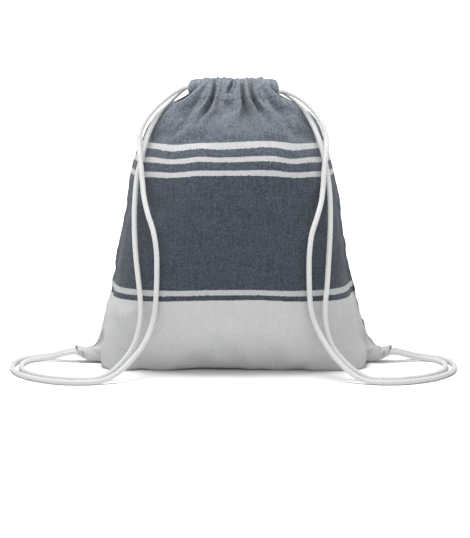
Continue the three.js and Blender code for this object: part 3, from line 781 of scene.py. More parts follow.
def braided_tube(name, path, cords):
    """A braided cord along a path, as a mesh with its UV map in metres."""
    across, up = frames_along(path)
    run = distances(path)
    angle = np.linspace(0, 2 * math.pi, CORD_SIDES, endpoint=False)[None, :]
    along = np.cos(math.pi * run / cords.braid_pitch)[:, None]
    strands = np.cos(cords.crossings / 2 * angle) * along
    radius = cords.diameter / 2 + cords.braid_depth * (strands - 1) / 2
    ring = np.cos(angle)[..., None] * across[:, None] + np.sin(angle)[..., None] * up[:, None]
    points = path[:, None] + ring * radius[..., None]
    caps = [np.repeat(path[end, None, None], CORD_SIDES, axis=1) for end in (0, -1)]
    points = np.concatenate([caps[0], points, caps[1]])
    run = np.concatenate([run[:1], run, run[-1:]])
    around = np.linspace(0, math.pi * cords.diameter, CORD_SIDES + 1)
    uv = np.stack(np.broadcast_arrays(around[None, :], run[:, None]), axis=-1)
    mesh = grid_mesh(name, points, uv, closed=True)
    merge_doubles(mesh)
    return mesh


def merge_doubles(mesh):
    """Close the ends of a tube, where all the points of a ring fall together."""
    work = bmesh.new()
    work.from_mesh(mesh)
    bmesh.ops.remove_doubles(work, verts=work.verts, dist=1e-6)
    work.to_mesh(mesh)
    work.free()


def ring_uv(rings):
    """A UV map in metres for rows of ring points."""
    steps = np.linalg.norm(np.diff(rings, axis=0), axis=-1).mean(axis=1)
    along = np.concatenate([[0], np.cumsum(steps)])
    girth = np.linalg.norm(np.diff(np.concatenate([rings, rings[:, :1]], axis=1), axis=1), axis=-1)
    around = np.concatenate([[0], np.cumsum(girth.mean(axis=0))])
    return np.stack(np.broadcast_arrays(around[None, :], along[:, None]), axis=-1)


# ---- node tools -------------------------------------------------------------------------------


def add_node(tree, kind, inputs=None, **settings):
    """A new node whose inputs are values, or other nodes' sockets to link from."""
    made = tree.nodes.new(kind)
    for key, value in settings.items():
        setattr(made, key, value)
    for key, value in (inputs or {}).items():
        if isinstance(value, bpy.types.NodeSocket):
            tree.links.new(value, made.inputs[key])
        else:
            made.inputs[key].default_value = value
    return made


def maths(tree, operation, *values):
    return add_node(tree, "ShaderNodeMath", dict(enumerate(values)), operation=operation).outputs[0]


def scaled(tree, vector, by):
    inputs = {0: vector, "Scale": by}
    return add_node(tree, "ShaderNodeVectorMath", inputs, operation="SCALE").outputs[0]


def swung(tree, level, swing):
    """A level about one half, turned into a swing about zero."""
    return maths(tree, "MULTIPLY", maths(tree, "SUBTRACT", level, 0.5), swing)


def cloth_place(tree):
    return add_node(tree, "ShaderNodeUVMap", uv_map="UVMap").outputs[0]


def new_group(name, kind, sockets):
    """An empty node group with named sockets: (name, direction, type)."""
    tree = bpy.data.node_groups.new(name, kind)
    for label, direction, shape in sockets:
        tree.interface.new_socket(label, in_out=direction, socket_type=shape)
    return tree, add_node(tree, "NodeGroupInput").outputs, add_node(tree, "NodeGroupOutput").inputs


FLOAT, VECTOR = "NodeSocketFloat", "NodeSocketVector"


WEAVE_DRIFT, DRIFT_SCALE = 0.0012, 90.0  # how far the threads wander, and how often
YARN_STRETCHES = ((0.12, 0.8, 1.0), (0.7, 0.06, 1.0))  # uneven yarn along and across the cloth
SPECK_SCALE, SPECK_CONTRAST = 0.6, 3.4


def weave_group():
    """Threads of a plain weave, with the uneven yarn of a chambray."""
    tree, given, wanted = new_group("Plain weave", "ShaderNodeTree", (
        ("Place", "INPUT", VECTOR), ("Thread pitch", "INPUT", FLOAT),
        ("Height", "OUTPUT", FLOAT), ("Fleck", "OUTPUT", FLOAT),
    ))
    drift = add_node(tree, "ShaderNodeTexNoise", {
        "Vector": given["Place"], "Scale": DRIFT_SCALE, "Detail": 1.0,
    })
    place = add_node(tree, "ShaderNodeVectorMath", {
        0: given["Place"], 1: scaled(tree, drift.outputs["Color"], WEAVE_DRIFT),
    }, operation="ADD")
    count = scaled(tree, place.outputs[0], maths(tree, "DIVIDE", 1.0, given["Thread pitch"]))
    part = add_node(tree, "ShaderNodeSeparateXYZ", {0: count})
    waves = [maths(tree, "SINE", maths(tree, "MULTIPLY", part.outputs[k], math.pi)) for k in (0, 1)]
    tree.links.new(maths(tree, "MULTIPLY", *waves), wanted["Height"])
    yarns = []
    for stretch in YARN_STRETCHES:
        lie = add_node(tree, "ShaderNodeVectorMath", {0: count, 1: stretch}, operation="MULTIPLY")
        yarn = add_node(tree, "ShaderNodeTexNoise", {
            "Vector": lie.outputs[0], "Scale": 1.0, "Detail": 2.0, "Roughness": 0.6,
        })
        yarns.append(yarn.outputs["Fac"])
    speck = add_node(tree, "ShaderNodeTexNoise", {
        "Vector": count, "Scale": SPECK_SCALE, "Detail": 3.0, "Roughness": 0.75,
    })
    blotch = swung(tree, speck.outputs["Fac"], SPECK_CONTRAST)
    streak = maths(tree, "SUBTRACT", maths(tree, "ADD", *yarns), 1.0)
    tree.links.new(maths(tree, "ADD", maths(tree, "ADD", blotch, streak), 0.5), wanted["Fleck"])
    return tree


FIBRES, FIBRE_HEIGHT = 5.0, 0.16  # fibres in a strand, and their height as a share of it
GROOVE_SPAN = (-0.75, 0.0)


def braid_group():
    """Crossing strands of a braided cord, and a mask of the grooves between them for painted shade.
    """
    tree, given, wanted = new_group("Braid", "ShaderNodeTree", (
        ("Place", "INPUT", VECTOR), ("Diameter", "INPUT", FLOAT), ("Braid pitch", "INPUT", FLOAT),
        ("Crossings", "INPUT", FLOAT), ("Height", "OUTPUT", FLOAT), ("Groove", "OUTPUT", FLOAT),
    ))
    part = add_node(tree, "ShaderNodeSeparateXYZ", {0: given["Place"]})
    angle = maths(tree, "DIVIDE", part.outputs[0], maths(tree, "DIVIDE", given["Diameter"], 2.0))
    turn = maths(tree, "MULTIPLY", angle, maths(tree, "DIVIDE", given["Crossings"], 2.0))
    run = maths(tree, "MULTIPLY", part.outputs[1], math.pi)
    run = maths(tree, "DIVIDE", run, given["Braid pitch"])
    strands = maths(tree, "MULTIPLY", maths(tree, "COSINE", turn), maths(tree, "COSINE", run))
    twist = [maths(tree, step, turn, run) for step in ("ADD", "SUBTRACT")]
    fibres = [maths(tree, "SINE", maths(tree, "MULTIPLY", way, FIBRES)) for way in twist]
    fibre = maths(tree, "MULTIPLY", maths(tree, "ADD", *fibres), FIBRE_HEIGHT)
    tree.links.new(maths(tree, "ADD", strands, fibre), wanted["Height"])
    groove = add_node(tree, "ShaderNodeMapRange", {
        "Value": strands, "From Min": GROOVE_SPAN[0], "From Max": GROOVE_SPAN[1],
        "To Min": 1.0, "To Max": 0.0,
    })
    tree.links.new(groove.outputs[0], wanted["Groove"])
    return tree


ROUGHNESS, SPECULAR, SHEEN_ROUGHNESS = 0.92, 0.15, 0.6


def new_material(name):
    """A material with a matt fabric shader, and the node tree to work in."""
    material = bpy.data.materials.new(name)
    material.use_nodes = True
    tree = material.node_tree
    shader = tree.nodes["Principled BSDF"]
    shader.inputs["Roughness"].default_value = ROUGHNESS
    shader.inputs["Specular IOR Level"].default_value = SPECULAR
    shader.inputs["Sheen Roughness"].default_value = SHEEN_ROUGHNESS
    return material, tree, shader


def place_group(tree, group, inputs):
    made = tree.nodes.new("ShaderNodeGroup")
    made.node_tree = group
    for key, value in inputs.items():
        if isinstance(value, bpy.types.NodeSocket):
            tree.links.new(value, made.inputs[key])
        else:
            made.inputs[key].default_value = value
    return made.outputs


def shaded(tree, colour, level, spread):
    """A colour made darker or lighter by a level that swings about one half."""
    return scaled(tree, colour, maths(tree, "ADD", swung(tree, level, spread), 1.0))


def bumped(tree, shader, height, distance, strength):
    bump = add_node(tree, "ShaderNodeBump", {
        "Height": height, "Distance": distance, "Strength": strength,
    })
    tree.links.new(bump.outputs[0], shader.inputs["Normal"])


# Painted sheen: the dark cloth of the gathered part is painted lighter, standing in for the top
# light and sheen on it, from one cloth height to the other.
PAINTED_SHEEN_SPAN, PAINTED_SHEEN_SHARE = (0.285, 0.420), 0.9
PAINTED_SHEEN_COLOUR = (0.175, 0.195, 0.225, 1.0)
RAMP_SPAN = 0.5  # cloth height that the ramp of woven stripes runs over
RAGGED_EDGE = 0.0009  # how far a stripe's edge strays
FLECK_SPREADS = {"dark": 1.0, "pale": 0.16, "stripe": 0.2}
WEAVE_BUMP = (0.00022, 0.5)


def striped_cloth(cloth, weave):
    """Slate chambray with off-white woven stripes over a pale lower part, and painted sheen on the
    dark cloth of the gathers.
    """
    material, tree, shader = new_material("Striped chambray")
    place = cloth_place(tree)
    threads = place_group(tree, weave, {"Place": place, "Thread pitch": cloth.thread_pitch})
    height = add_node(tree, "ShaderNodeSeparateXYZ", {0: place}).outputs[1]
    ragged = swung(tree, threads["Fleck"], RAGGED_EDGE)
    along = maths(tree, "DIVIDE", maths(tree, "ADD", height, ragged), RAMP_SPAN)
    ramps = {}
    colours = {"dark": cloth.dark, "pale": cloth.pale, "stripe": cloth.stripe}
    for name, value_of in (
        ("colour", lambda kind: (*colours[kind], 1.0)),
        ("spread", lambda kind: (FLECK_SPREADS[kind], float(kind == "dark"), 0.0, 1.0)),
    ):
        ramp = add_node(tree, "ShaderNodeValToRGB", {0: along})
        ramp.color_ramp.interpolation = "CONSTANT"
        for number, (start, kind) in enumerate(WOVEN_STRIPES):
            stops = ramp.color_ramp.elements
            stop = stops[0] if number == 0 else stops.new(start / RAMP_SPAN)
            stop.position = start / RAMP_SPAN
            stop.color = value_of(kind)
        stops.remove(stops[len(stops) - 1])
        ramps[name] = ramp.outputs[0]
    spread, woven, _ = add_node(tree, "ShaderNodeSeparateColor", {0: ramps["spread"]}).outputs
    # Painted sheen: the dark cloth is mixed towards a lighter grey up the cloth height, standing in
    # for the top light on the gathers.
    soft = add_node(tree, "ShaderNodeMapRange", {
        "Value": height, "From Min": PAINTED_SHEEN_SPAN[0], "From Max": PAINTED_SHEEN_SPAN[1],
        "To Min": 0.0, "To Max": 1.0,
    })
    painted_sheen = maths(tree, "MULTIPLY", maths(tree, "MULTIPLY", soft.outputs[0], woven), PAINTED_SHEEN_SHARE)
    sheen_painted_colour = add_node(tree, "ShaderNodeMix", {
        0: painted_sheen, 6: ramps["colour"], 7: PAINTED_SHEEN_COLOUR,
    }, data_type="RGBA").outputs[2]
    tree.links.new(shaded(tree, sheen_painted_colour, threads["Fleck"], spread), shader.inputs["Base Color"])
    shader.inputs["Sheen Weight"].default_value = 0.12
    bumped(tree, shader, threads["Height"], *WEAVE_BUMP)
    return material


def pale_cloth(cloth, weave):
    """The pale weave of the corner loops."""
    material, tree, shader = new_material("Pale cotton")
    place = cloth_place(tree)
    threads = place_group(tree, weave, {"Place": place, "Thread pitch": cloth.thread_pitch})
    colour = shaded(tree, (*cloth.pale,), threads["Fleck"], FLECK_SPREADS["pale"])
    tree.links.new(colour, shader.inputs["Base Color"])
    shader.inputs["Sheen Weight"].default_value = 0.15
    bumped(tree, shader, threads["Height"], *WEAVE_BUMP)
    return material


FUZZ_SCALE, FUZZ_SHADE, GROOVE_SHADE = 900.0, 0.08, 0.10
BRAID_BUMP = (0.00015, 0.4)


def braided_cotton(cords, braid):
    """White braided cotton, with painted shade in the grooves between its strands."""
    material, tree, shader = new_material("White braided cotton")
    place = cloth_place(tree)
    strands = place_group(tree, braid, {
        "Place": place, "Diameter": cords.diameter, "Braid pitch": cords.braid_pitch,
        "Crossings": float(cords.crossings),
    })
    fuzz = add_node(tree, "ShaderNodeTexNoise", {
        "Vector": place, "Scale": FUZZ_SCALE, "Detail": 2.0,
    })
    # Painted shade: the base colour is darkened in the grooves of the braid.
    groove = maths(tree, "SUBTRACT", 0.5, maths(tree, "MULTIPLY", strands["Groove"], GROOVE_SHADE))
    level = maths(tree, "ADD", groove, maths(tree, "MULTIPLY", fuzz.outputs["Fac"], FUZZ_SHADE))
    tree.links.new(shaded(tree, (*cords.colour,), level, 1.0), shader.inputs["Base Color"])
    shader.inputs["Sheen Weight"].default_value = 0.2
    bumped(tree, shader, strands["Height"], *BRAID_BUMP)
    return material


TWIST_SCALE, TWIST_SHADE, TWIST_BUMP = 900.0, 0.3, (0.0001, 0.5)


def sewing_thread(name, colour):
    """Twisted sewing thread."""
    material, tree, shader = new_material(name)
    place = add_node(tree, "ShaderNodeTexCoord").outputs["Object"]
    twist = add_node(tree, "ShaderNodeTexWave", {
        "Vector": place, "Scale": TWIST_SCALE, "Distortion": 2.0, "Detail": 1.0,
    }, bands_direction="DIAGONAL")
    painted = shaded(tree, (*colour,), twist.outputs["Fac"], TWIST_SHADE)
    tree.links.new(painted, shader.inputs["Base Color"])
    bumped(tree, shader, twist.outputs["Fac"], *TWIST_BUMP)
    return material


def finishes(context):
    """The object's materials by slot, made once."""
    scene = context.scene
    names = {
        "striped_cloth": "Striped chambray", "pale_cloth": "Pale cotton",
        "white_cord": "White braided cotton", "dark_thread": "Dark thread",
        "pale_thread": "Pale thread",
    }
    if names["striped_cloth"] not in bpy.data.materials:
        weave, braid = weave_group(), braid_group()
        striped_cloth(scene.backpack_cloth, weave)
        pale_cloth(scene.backpack_cloth, weave)
        braided_cotton(scene.backpack_cords, braid)
        sewing_thread(names["dark_thread"], scene.backpack_stitches.dark)
        sewing_thread(names["pale_thread"], scene.backpack_stitches.pale)
    return {slot: bpy.data.materials[name] for slot, name in names.items()}


# ---- sewing with geometry nodes -----------------------------------------------------------------

STITCH_SIDES, STITCH_RINGS, THREAD_SIDES = 6, 5, 6
STITCH_UNEVEN = (0.88, 1.1)  # shortest and longest stitch, as a share of the usual one


def new_sewing_group(name, sizes):
    """A geometry node group with these sizes as inputs, beside its path and its material."""
    return new_group(name, "GeometryNodeTree", (
        ("Geometry", "INPUT", "NodeSocketGeometry"), *((size, "INPUT", FLOAT) for size in sizes),
        ("Material", "INPUT", "NodeSocketMaterial"), ("Geometry", "OUTPUT", "NodeSocketGeometry"),
    ))


def end_sewing(tree, given, wanted, geometry):
    """Make a sewing tree's result real, and give it its material."""
    real = add_node(tree, "GeometryNodeRealizeInstances", {0: geometry})
    painted = add_node(tree, "GeometryNodeSetMaterial", {
        "Geometry": real.outputs[0], "Material": given["Material"],
    })
    tree.links.new(painted.outputs[0], wanted["Geometry"])
    return tree


def stitch_tree():
    """Separate stitches set along each path at equal steps."""
    tree, given, wanted = new_sewing_group(
        "Stitch row", ("Stitch length", "Thread diameter", "Share sewn")
    )
    curve = add_node(tree, "GeometryNodeMeshToCurve", {0: given["Geometry"]})
    places = add_node(tree, "GeometryNodeCurveToPoints", {
        "Curve": curve.outputs[0], "Length": given["Stitch length"],
    }, mode="LENGTH")
    stitch = add_node(tree, "GeometryNodeMeshUVSphere", {
        "Segments": STITCH_SIDES, "Rings": STITCH_RINGS, "Radius": 0.5,
    })
    length = maths(tree, "MULTIPLY", given["Stitch length"], given["Share sewn"])
    uneven = add_node(tree, "FunctionNodeRandomValue", {
        2: STITCH_UNEVEN[0], 3: STITCH_UNEVEN[1], "Seed": SEED,
    })
    size = add_node(tree, "ShaderNodeCombineXYZ", {
        0: given["Thread diameter"], 1: given["Thread diameter"],
        2: maths(tree, "MULTIPLY", length, uneven.outputs[1]),
    })
    sewn = add_node(tree, "GeometryNodeInstanceOnPoints", {
        "Points": places.outputs["Points"], "Instance": stitch.outputs["Mesh"],
        "Rotation": places.outputs["Rotation"], "Scale": size.outputs[0],
    })
    return end_sewing(tree, given, wanted, sewn.outputs[0])


def thread_tree():
    """One unbroken thread swept along each path."""
    tree, given, wanted = new_sewing_group("Thread along path", ("Thread diameter",))
    curve = add_node(tree, "GeometryNodeMeshToCurve", {0: given["Geometry"]})
    ring = add_node(tree, "GeometryNodeCurvePrimitiveCircle", {
        "Resolution": THREAD_SIDES, "Radius": maths(tree, "DIVIDE", given["Thread diameter"], 2.0),
    })
    swept = add_node(tree, "GeometryNodeCurveToMesh", {
        "Curve": curve.outputs[0], "Profile Curve": ring.outputs[0], "Fill Caps": True,
    })
    return end_sewing(tree, given, wanted, swept.outputs[0])


def sewn_object(name, paths, tree_name, make_tree, values, material):
    """Run a sewing tree over some paths, and keep the result as a plain mesh."""
    tree = bpy.data.node_groups.get(tree_name) or make_tree()
    points, edges = [], []
    for path in paths:
        first = len(points)
        points.extend([tuple(p) for p in path])
        edges.extend((i, i + 1) for i in range(first, len(points) - 1))
    lines = bpy.data.meshes.new(f"{name} path")
    lines.from_pydata(points, edges, [])
    guide = new_object(f"{name} guide", lines, material)
    sewing = guide.modifiers.new("Sewing", "NODES")
    sewing.node_group = tree
    inputs = [item for item in tree.interface.items_tree if item.in_out == "INPUT"]
    sockets = {item.name: item.identifier for item in inputs}
    for label, value in {**values, "Material": material}.items():
        sewing[sockets[label]] = value
    bpy.context.view_layer.update()
    evaluated = guide.evaluated_get(bpy.context.evaluated_depsgraph_get())
    mesh = bpy.data.meshes.new_from_object(evaluated)
    if not len(mesh.polygons):
        raise RuntimeError(f"{name}: no stitches were made")
    mesh.name = name
    bpy.data.objects.remove(guide)
    mesh.polygons.foreach_set("use_smooth", np.ones(len(mesh.polygons), bool))
    return new_object(name, mesh, material)


# ---- operators, one for each group of pieces -----------------------------------------------------


def finished(obj, slot, body, *nodes):
    """Hide a finished piece's CAD nodes, and tie it to the body it moves with. The slot is not
    used.
    """
    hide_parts(*nodes)
    if body is not None:
        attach(obj, body)
    return obj


CAMERA_LENS = 126.9
CAMERA_AIM = (0.0018, 0.0, 0.110)
FLOOR_REACH, FLOOR_COLOUR = 80.0, (0.93, 0.93, 0.93, 1.0)
GLOW_SPAN, GLOW_NEAR = (0.3, 0.9), 0.0  # the floor glows from the first distance on
LIGHT_AIM = (0.0, 0.0, 0.15)
KEY_PLACE, KEY_SIZE = (-0.15, -0.15, 1.55), 1.0
FILL_PLACE, FILL_SIZE = (0.5, -2.4, 0.9), 1.6


class BACKPACK_OT_stage(bpy.types.Operator):
    """Set up the camera, the pale floor and the soft light"""

    bl_idname = "backpack.stage"
    bl_label = "Stage"

    def execute(self, context):
        scene, stage = context.scene, context.scene.backpack_stage
        self.set_camera(scene, stage)
        floor_mesh = bpy.data.meshes.new("Studio floor")
        reach = FLOOR_REACH
        corners = [(-reach, -reach, 0), (reach, -reach, 0), (reach, reach, 0), (-reach, reach, 0)]
        floor_mesh.from_pydata(corners, [], [(0, 1, 2, 3)])
        new_object("Studio floor", floor_mesh, self.floor_material())
        self.soft_light("Key light", KEY_PLACE, KEY_SIZE, stage.key_power)
        self.soft_light("Fill light", FILL_PLACE, FILL_SIZE, stage.fill_power)
        self.set_surround(scene, stage)
        scene.view_settings.view_transform = "Standard"
        return {"FINISHED"}

    @staticmethod
    def set_camera(scene, stage):
        lens = bpy.data.cameras.new("Camera")
        lens.lens = CAMERA_LENS
        lens.sensor_width = 36.0
        camera = bpy.data.objects.new("Camera", lens)
        scene.collection.objects.link(camera)
        away = Vector((0.0, -math.cos(stage.elevation), math.sin(stage.elevation)))
        camera.location = Vector(CAMERA_AIM) + away * stage.distance
        camera.rotation_euler = (-away).to_track_quat("-Z", "Y").to_euler()
        scene.camera = camera

    @staticmethod
    def floor_material():
        """Matt white that takes shadows near the bag, and glows white further out."""
        material = bpy.data.materials.new("Studio floor")
        material.use_nodes = True
        tree = material.node_tree
        shader = tree.nodes["Principled BSDF"]
        shader.inputs["Base Color"].default_value = FLOOR_COLOUR
        shader.inputs["Roughness"].default_value = 0.9
        shader.inputs["Specular IOR Level"].default_value = 0.0
        shader.inputs["Emission Color"].default_value = (1.0, 1.0, 1.0, 1.0)
        away = add_node(tree, "ShaderNodeVectorMath", {
            0: add_node(tree, "ShaderNodeTexCoord").outputs["Object"],
        }, operation="LENGTH")
        glow = add_node(tree, "ShaderNodeMapRange", {
            "Value": away.outputs["Value"], "From Min": GLOW_SPAN[0], "From Max": GLOW_SPAN[1],
            "To Min": GLOW_NEAR, "To Max": 1.0,
        }, interpolation_type="SMOOTHSTEP")
        tree.links.new(glow.outputs[0], shader.inputs["Emission Strength"])
        return material

    @staticmethod
    def soft_light(name, place, size, power):
        light = bpy.data.lights.new(name, "AREA")
        light.shape, light.size, light.energy = "DISK", size, power
        lamp = bpy.data.objects.new(name, light)
        bpy.context.scene.collection.objects.link(lamp)
        lamp.location = place
        toward = Vector(LIGHT_AIM) - Vector(place)
        lamp.rotation_euler = toward.to_track_quat("-Z", "Y").to_euler()
        return lamp

    @staticmethod
    def set_surround(scene, stage):
        world = bpy.data.worlds.new("White surround")
        world.use_nodes = True
        tree = world.node_tree
        camera_ray = add_node(tree, "ShaderNodeLightPath").outputs["Is Camera Ray"]
        strength = add_node(tree, "ShaderNodeMapRange", {
            "Value": camera_ray, "To Min": stage.sky, "To Max": 1.0,
        })
        tree.links.new(strength.outputs[0], tree.nodes["Background"].inputs["Strength"])
        tree.nodes["Background"].inputs["Color"].default_value = (1.0, 1.0, 1.0, 1.0)
        scene.world = world


class BACKPACK_OT_cords(bpy.types.Operator):
    """Make the four free strands of the two drawstrings"""

    bl_idname = "backpack.cords"
    bl_label = "Cord strands"

    def execute(self, context):
        cords = context.scene.backpack_cords
        material = finishes(context)["white_cord"]
        for node, route in ROUTES.items():
            path, length = smooth_path(route, CORD_STEP)
            strand = new_object(f"{node}_braid", braided_tube(node, path, cords), material)
            finished(strand, "white_cord", None, node)
            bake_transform(strand)
        return {"FINISHED"}


CASING_END = 0.0425
RUN_DEPTH = 0.0095
RUN_HEIGHTS = {"left": 0.3222, "right": 0.3158}
KNOT_PLACE = (0.137, 0.0, 0.0125)
KNOT_SIZE = (0.0031, 0.0031, 0.0033)
KNOT_POINTS = 240


class BACKPACK_OT_cord_ends(bpy.types.Operator):
    """Make the cords' runs in the casings, their turns and the knots in the corners"""

    bl_idname = "backpack.cord_ends"
    bl_label = "Cord runs, turns and knots"

    def execute(self, context):
        cords = context.scene.backpack_cords
        material = finishes(context)["white_cord"]
        for cord, side in SIDES.items():
            height = RUN_HEIGHTS[cord]
            for place, face in FACES.items():
                ends = [(x, face * RUN_DEPTH, height) for x in (-CASING_END, 0.0, CASING_END)]
                path, _ = smooth_path(ends, CORD_STEP)
                name = f"{cord}_cord_{place}_run"
                run = new_object(f"{name}_braid", braided_tube(name, path, cords), material)
                finished(run, "white_cord", MOUTH[place], name)
                self.half_turn(cord, -side, place, face, height, cords, material)
            self.knot(cord, side, cords, material)
        return {"FINISHED"}

    @staticmethod
    def half_turn(cord, side, place, face, height, cords, material):
        route = [(side * (CASING_END + TURN_GAP), face * RUN_DEPTH, height)]
        for angle in np.linspace(0, math.pi / 2, TURN_POINTS):
            x = side * (CASING_END + TURN_START + TURN_REACH * math.sin(angle))
            route.append((x, face * RUN_DEPTH * math.cos(angle), height))
        path, _ = smooth_path(route, CORD_STEP)
        name = f"{cord}_cord_turn"
        half = new_object(f"{name}_{place}_half", braided_tube(name, path, cords), material)
        finished(half, "white_cord", None, name)
        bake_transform(half)

    @staticmethod
    def knot(cord, side, cords, material):
        turn = np.linspace(0, 2 * math.pi, KNOT_POINTS)
        loop = np.stack([
            np.sin(turn) + 2 * np.sin(2 * turn), np.cos(turn) - 2 * np.cos(2 * turn),
            -np.sin(3 * turn),
        ], axis=1) * KNOT_SIZE
        loop[:, 0] = side * KNOT_PLACE[0] + side * loop[:, 0]
        loop[:, 2] += KNOT_PLACE[2]
        name = f"{cord}_cord_knot"
        knot = new_object(f"{name}_braid", braided_tube(name, loop, cords), material)
        finished(knot, "white_cord", BAG, name)


class BACKPACK_OT_panels(bpy.types.Operator):
    """Make the stuffed front and back panels"""

    bl_idname = "backpack.panels"
    bl_label = "Cloth panels"

    def execute(self, context):
        cloth = context.scene.backpack_cloth
        material = finishes(context)["striped_cloth"]
        for place, face in FACES.items():
            points, uv, hem = finished_surface(cloth, face)
            mesh = grid_mesh(f"{place}_panel", points[: hem + 1], uv[: hem + 1], flip=face > 0)
            panel = thicken(new_object(f"{place}_panel_cloth", mesh, material), cloth.thickness)
            finished(panel, "striped_cloth", None, f"{place}_panel")
            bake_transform(panel)
        return {"FINISHED"}


CASING_CLOTH = 0.40  # cloth height that the rolled ends are cut from
END_ROOT, END_TIP, END_CUT = 0.022, 0.0508, 0.0065
END_MIDDLE, END_DEPTH = 0.3198, 0.0094
END_WRINKLE, END_SMOOTHING, END_SIDES = 0.05, 0.6, 56
END_HALF = (0.0048, 0.0088)
# The rolled end from its root to its lip and back in: (place along it, size).
ROLLED_END = (
    (0.0, 0.74), (0.15, 0.77), (0.3, 0.85), (0.45, 0.94), (0.6, 0.99), (0.72, 1.0), (0.82, 0.985),
    (0.90, 0.95), (0.95, 0.91), (0.985, 0.86), (1.0, 0.81), (0.99, 0.78), (0.95, 0.75),
    (0.85, 0.74), (0.7, 0.74),
)


class BACKPACK_OT_casings(bpy.types.Operator):
    """Make the gathered hem casings with their rolled ends"""

    bl_idname = "backpack.casings"
    bl_label = "Hem casings"

    def execute(self, context):
        cloth = context.scene.backpack_cloth
        material = finishes(context)["striped_cloth"]
        for place, face in FACES.items():
            points, uv, hem = finished_surface(cloth, face)
            meshes = [grid_mesh(f"{place}_casing", points[hem:], uv[hem:], flip=face > 0)]
            meshes += [self.rolled_end(side, face) for side in SIDES.values()]
            casing = thicken(joined(f"{place}_casing_cloth", meshes, material), cloth.thickness)
            finished(casing, "striped_cloth", MOUTH[place], f"{place}_casing")
        return {"FINISHED"}

    @staticmethod
    def rolled_end(side, face):
        """The sleeve at one end of a casing, where the cord comes out."""
        angle = np.linspace(0, 2 * math.pi, END_SIDES, endpoint=False)
        noise = SmoothNoise(SEED + 11 + side + 3 * face)
        toward_back = np.cos(angle)
        end_x = END_TIP - END_CUT * (1 + toward_back) / 2
        rings = []
        for along, size in ROLLED_END:
            wrinkle = noise(angle * 1.6 + 7.0, along * 2.2) * (1 - END_SMOOTHING * along)
            wrinkle = 1 + END_WRINKLE * wrinkle
            x = END_ROOT + (end_x - END_ROOT) * along
            y = face * (END_DEPTH - toward_back * END_HALF[0] * size * wrinkle)
            z = END_MIDDLE + np.sin(angle) * END_HALF[1] * size * wrinkle
            rings.append(np.stack([side * x, y, z], axis=-1))
        rings = np.array(rings)
        uv = ring_uv(rings)
        uv[..., 1] += CASING_CLOTH
        return grid_mesh("rolled end", rings, uv, flip=side * face < 0, closed=True)


LOOP_ROOT, LOOP_TIP = 0.160, 0.1855
LOOP_SLANT, LOOP_LEAN, LOOP_SIDES = 0.0045, 0.0005, 64
# A corner loop from inside the ear to its lip: (place along it, half depth, half height, middle).
LOOP_RINGS = (
    (0.0, 0.0088, 0.0066, 0.0092), (0.25, 0.0091, 0.0072, 0.0094), (0.45, 0.0092, 0.0075, 0.0098),
    (0.6, 0.0090, 0.0072, 0.0108), (0.75, 0.0087, 0.0067, 0.0120), (0.88, 0.0085, 0.0063, 0.0131),
    (0.96, 0.0085, 0.0061, 0.0138), (1.0, 0.0082, 0.0058, 0.0140), (0.99, 0.0077, 0.0053, 0.0140),
)


class BACKPACK_OT_corner_loops(bpy.types.Operator):
    """Make the cloth loops at the bottom corners that the cords go into"""

    bl_idname = "backpack.corner_loops"
    bl_label = "Corner loops"

    def execute(self, context):
        cloth = context.scene.backpack_cloth
        material = finishes(context)["pale_cloth"]
        angle = np.linspace(0, 2 * math.pi, LOOP_SIDES, endpoint=False)
        for name, side in SIDES.items():
            rings = []
            for along, depth, height, middle in LOOP_RINGS:
                tip = LOOP_TIP - LOOP_SLANT * (1 - np.cos(angle)) / 2 + LOOP_LEAN * np.sin(angle)
                x = LOOP_ROOT + (tip - LOOP_ROOT) * along
                y = np.cos(angle) * depth
                z = middle + np.sin(angle) * height
                rings.append(np.stack([side * x, y, z], axis=-1))
            rings, label = np.array(rings), f"{name}_corner_loop"
            mesh = grid_mesh(label, rings, ring_uv(rings), flip=side < 0, closed=True)
            loop = thicken(new_object(f"{label}_cloth", mesh, material), cloth.thickness)
            finished(loop, "pale_cloth", BAG, label)
        return {"FINISHED"}


SHARE_SEWN = 0.8
STITCH_LIFT = 0.2  # how far the thread's middle stands off the cloth, as a share of the thread
STITCH_ROW, STITCH_MARGIN = 2, 3  # rows above the hem line, and columns left free at each end


class BACKPACK_OT_casing_stitching(bpy.types.Operator):
    """Sew the hems down under the casings"""

    bl_idname = "backpack.casing_stitching"
    bl_label = "Casing stitching"

    def execute(self, context):
        cloth, stitches = context.scene.backpack_cloth, context.scene.backpack_stitches
        material = finishes(context)["dark_thread"]
        values = {
            "Stitch length": stitches.length, "Thread diameter": stitches.thread,
            "Share sewn": SHARE_SEWN,
        }
        for place, face in FACES.items():
            points, _, hem = finished_surface(cloth, face)
            lift = outward(points, face) * (stitches.thread * STITCH_LIFT)
            row = (points + lift)[hem + STITCH_ROW, STITCH_MARGIN:-STITCH_MARGIN]
            name = f"{place}_casing_stitching"
            sewing = sewn_object(f"{name}_row", [row], "Stitch row", stitch_tree, values, material)
            finished(sewing, "dark_thread", MOUTH[place], name)
        return {"FINISHED"}


SIDE_OVERLOCK = (0.11, 0.340)
BOTTOM_OVERLOCK = 0.118
OVERLOCK_SPAN = (0.0024, 0.0105)
OVERLOCK_POINTS, OVERLOCK_COLUMNS = 90, 6
# How far in from the strip's near edge and past its far edge the thread goes, and to its side.
WHIP_NEAR, WHIP_PAST, WHIP_ASIDE = 0.001, 0.0003, 0.001


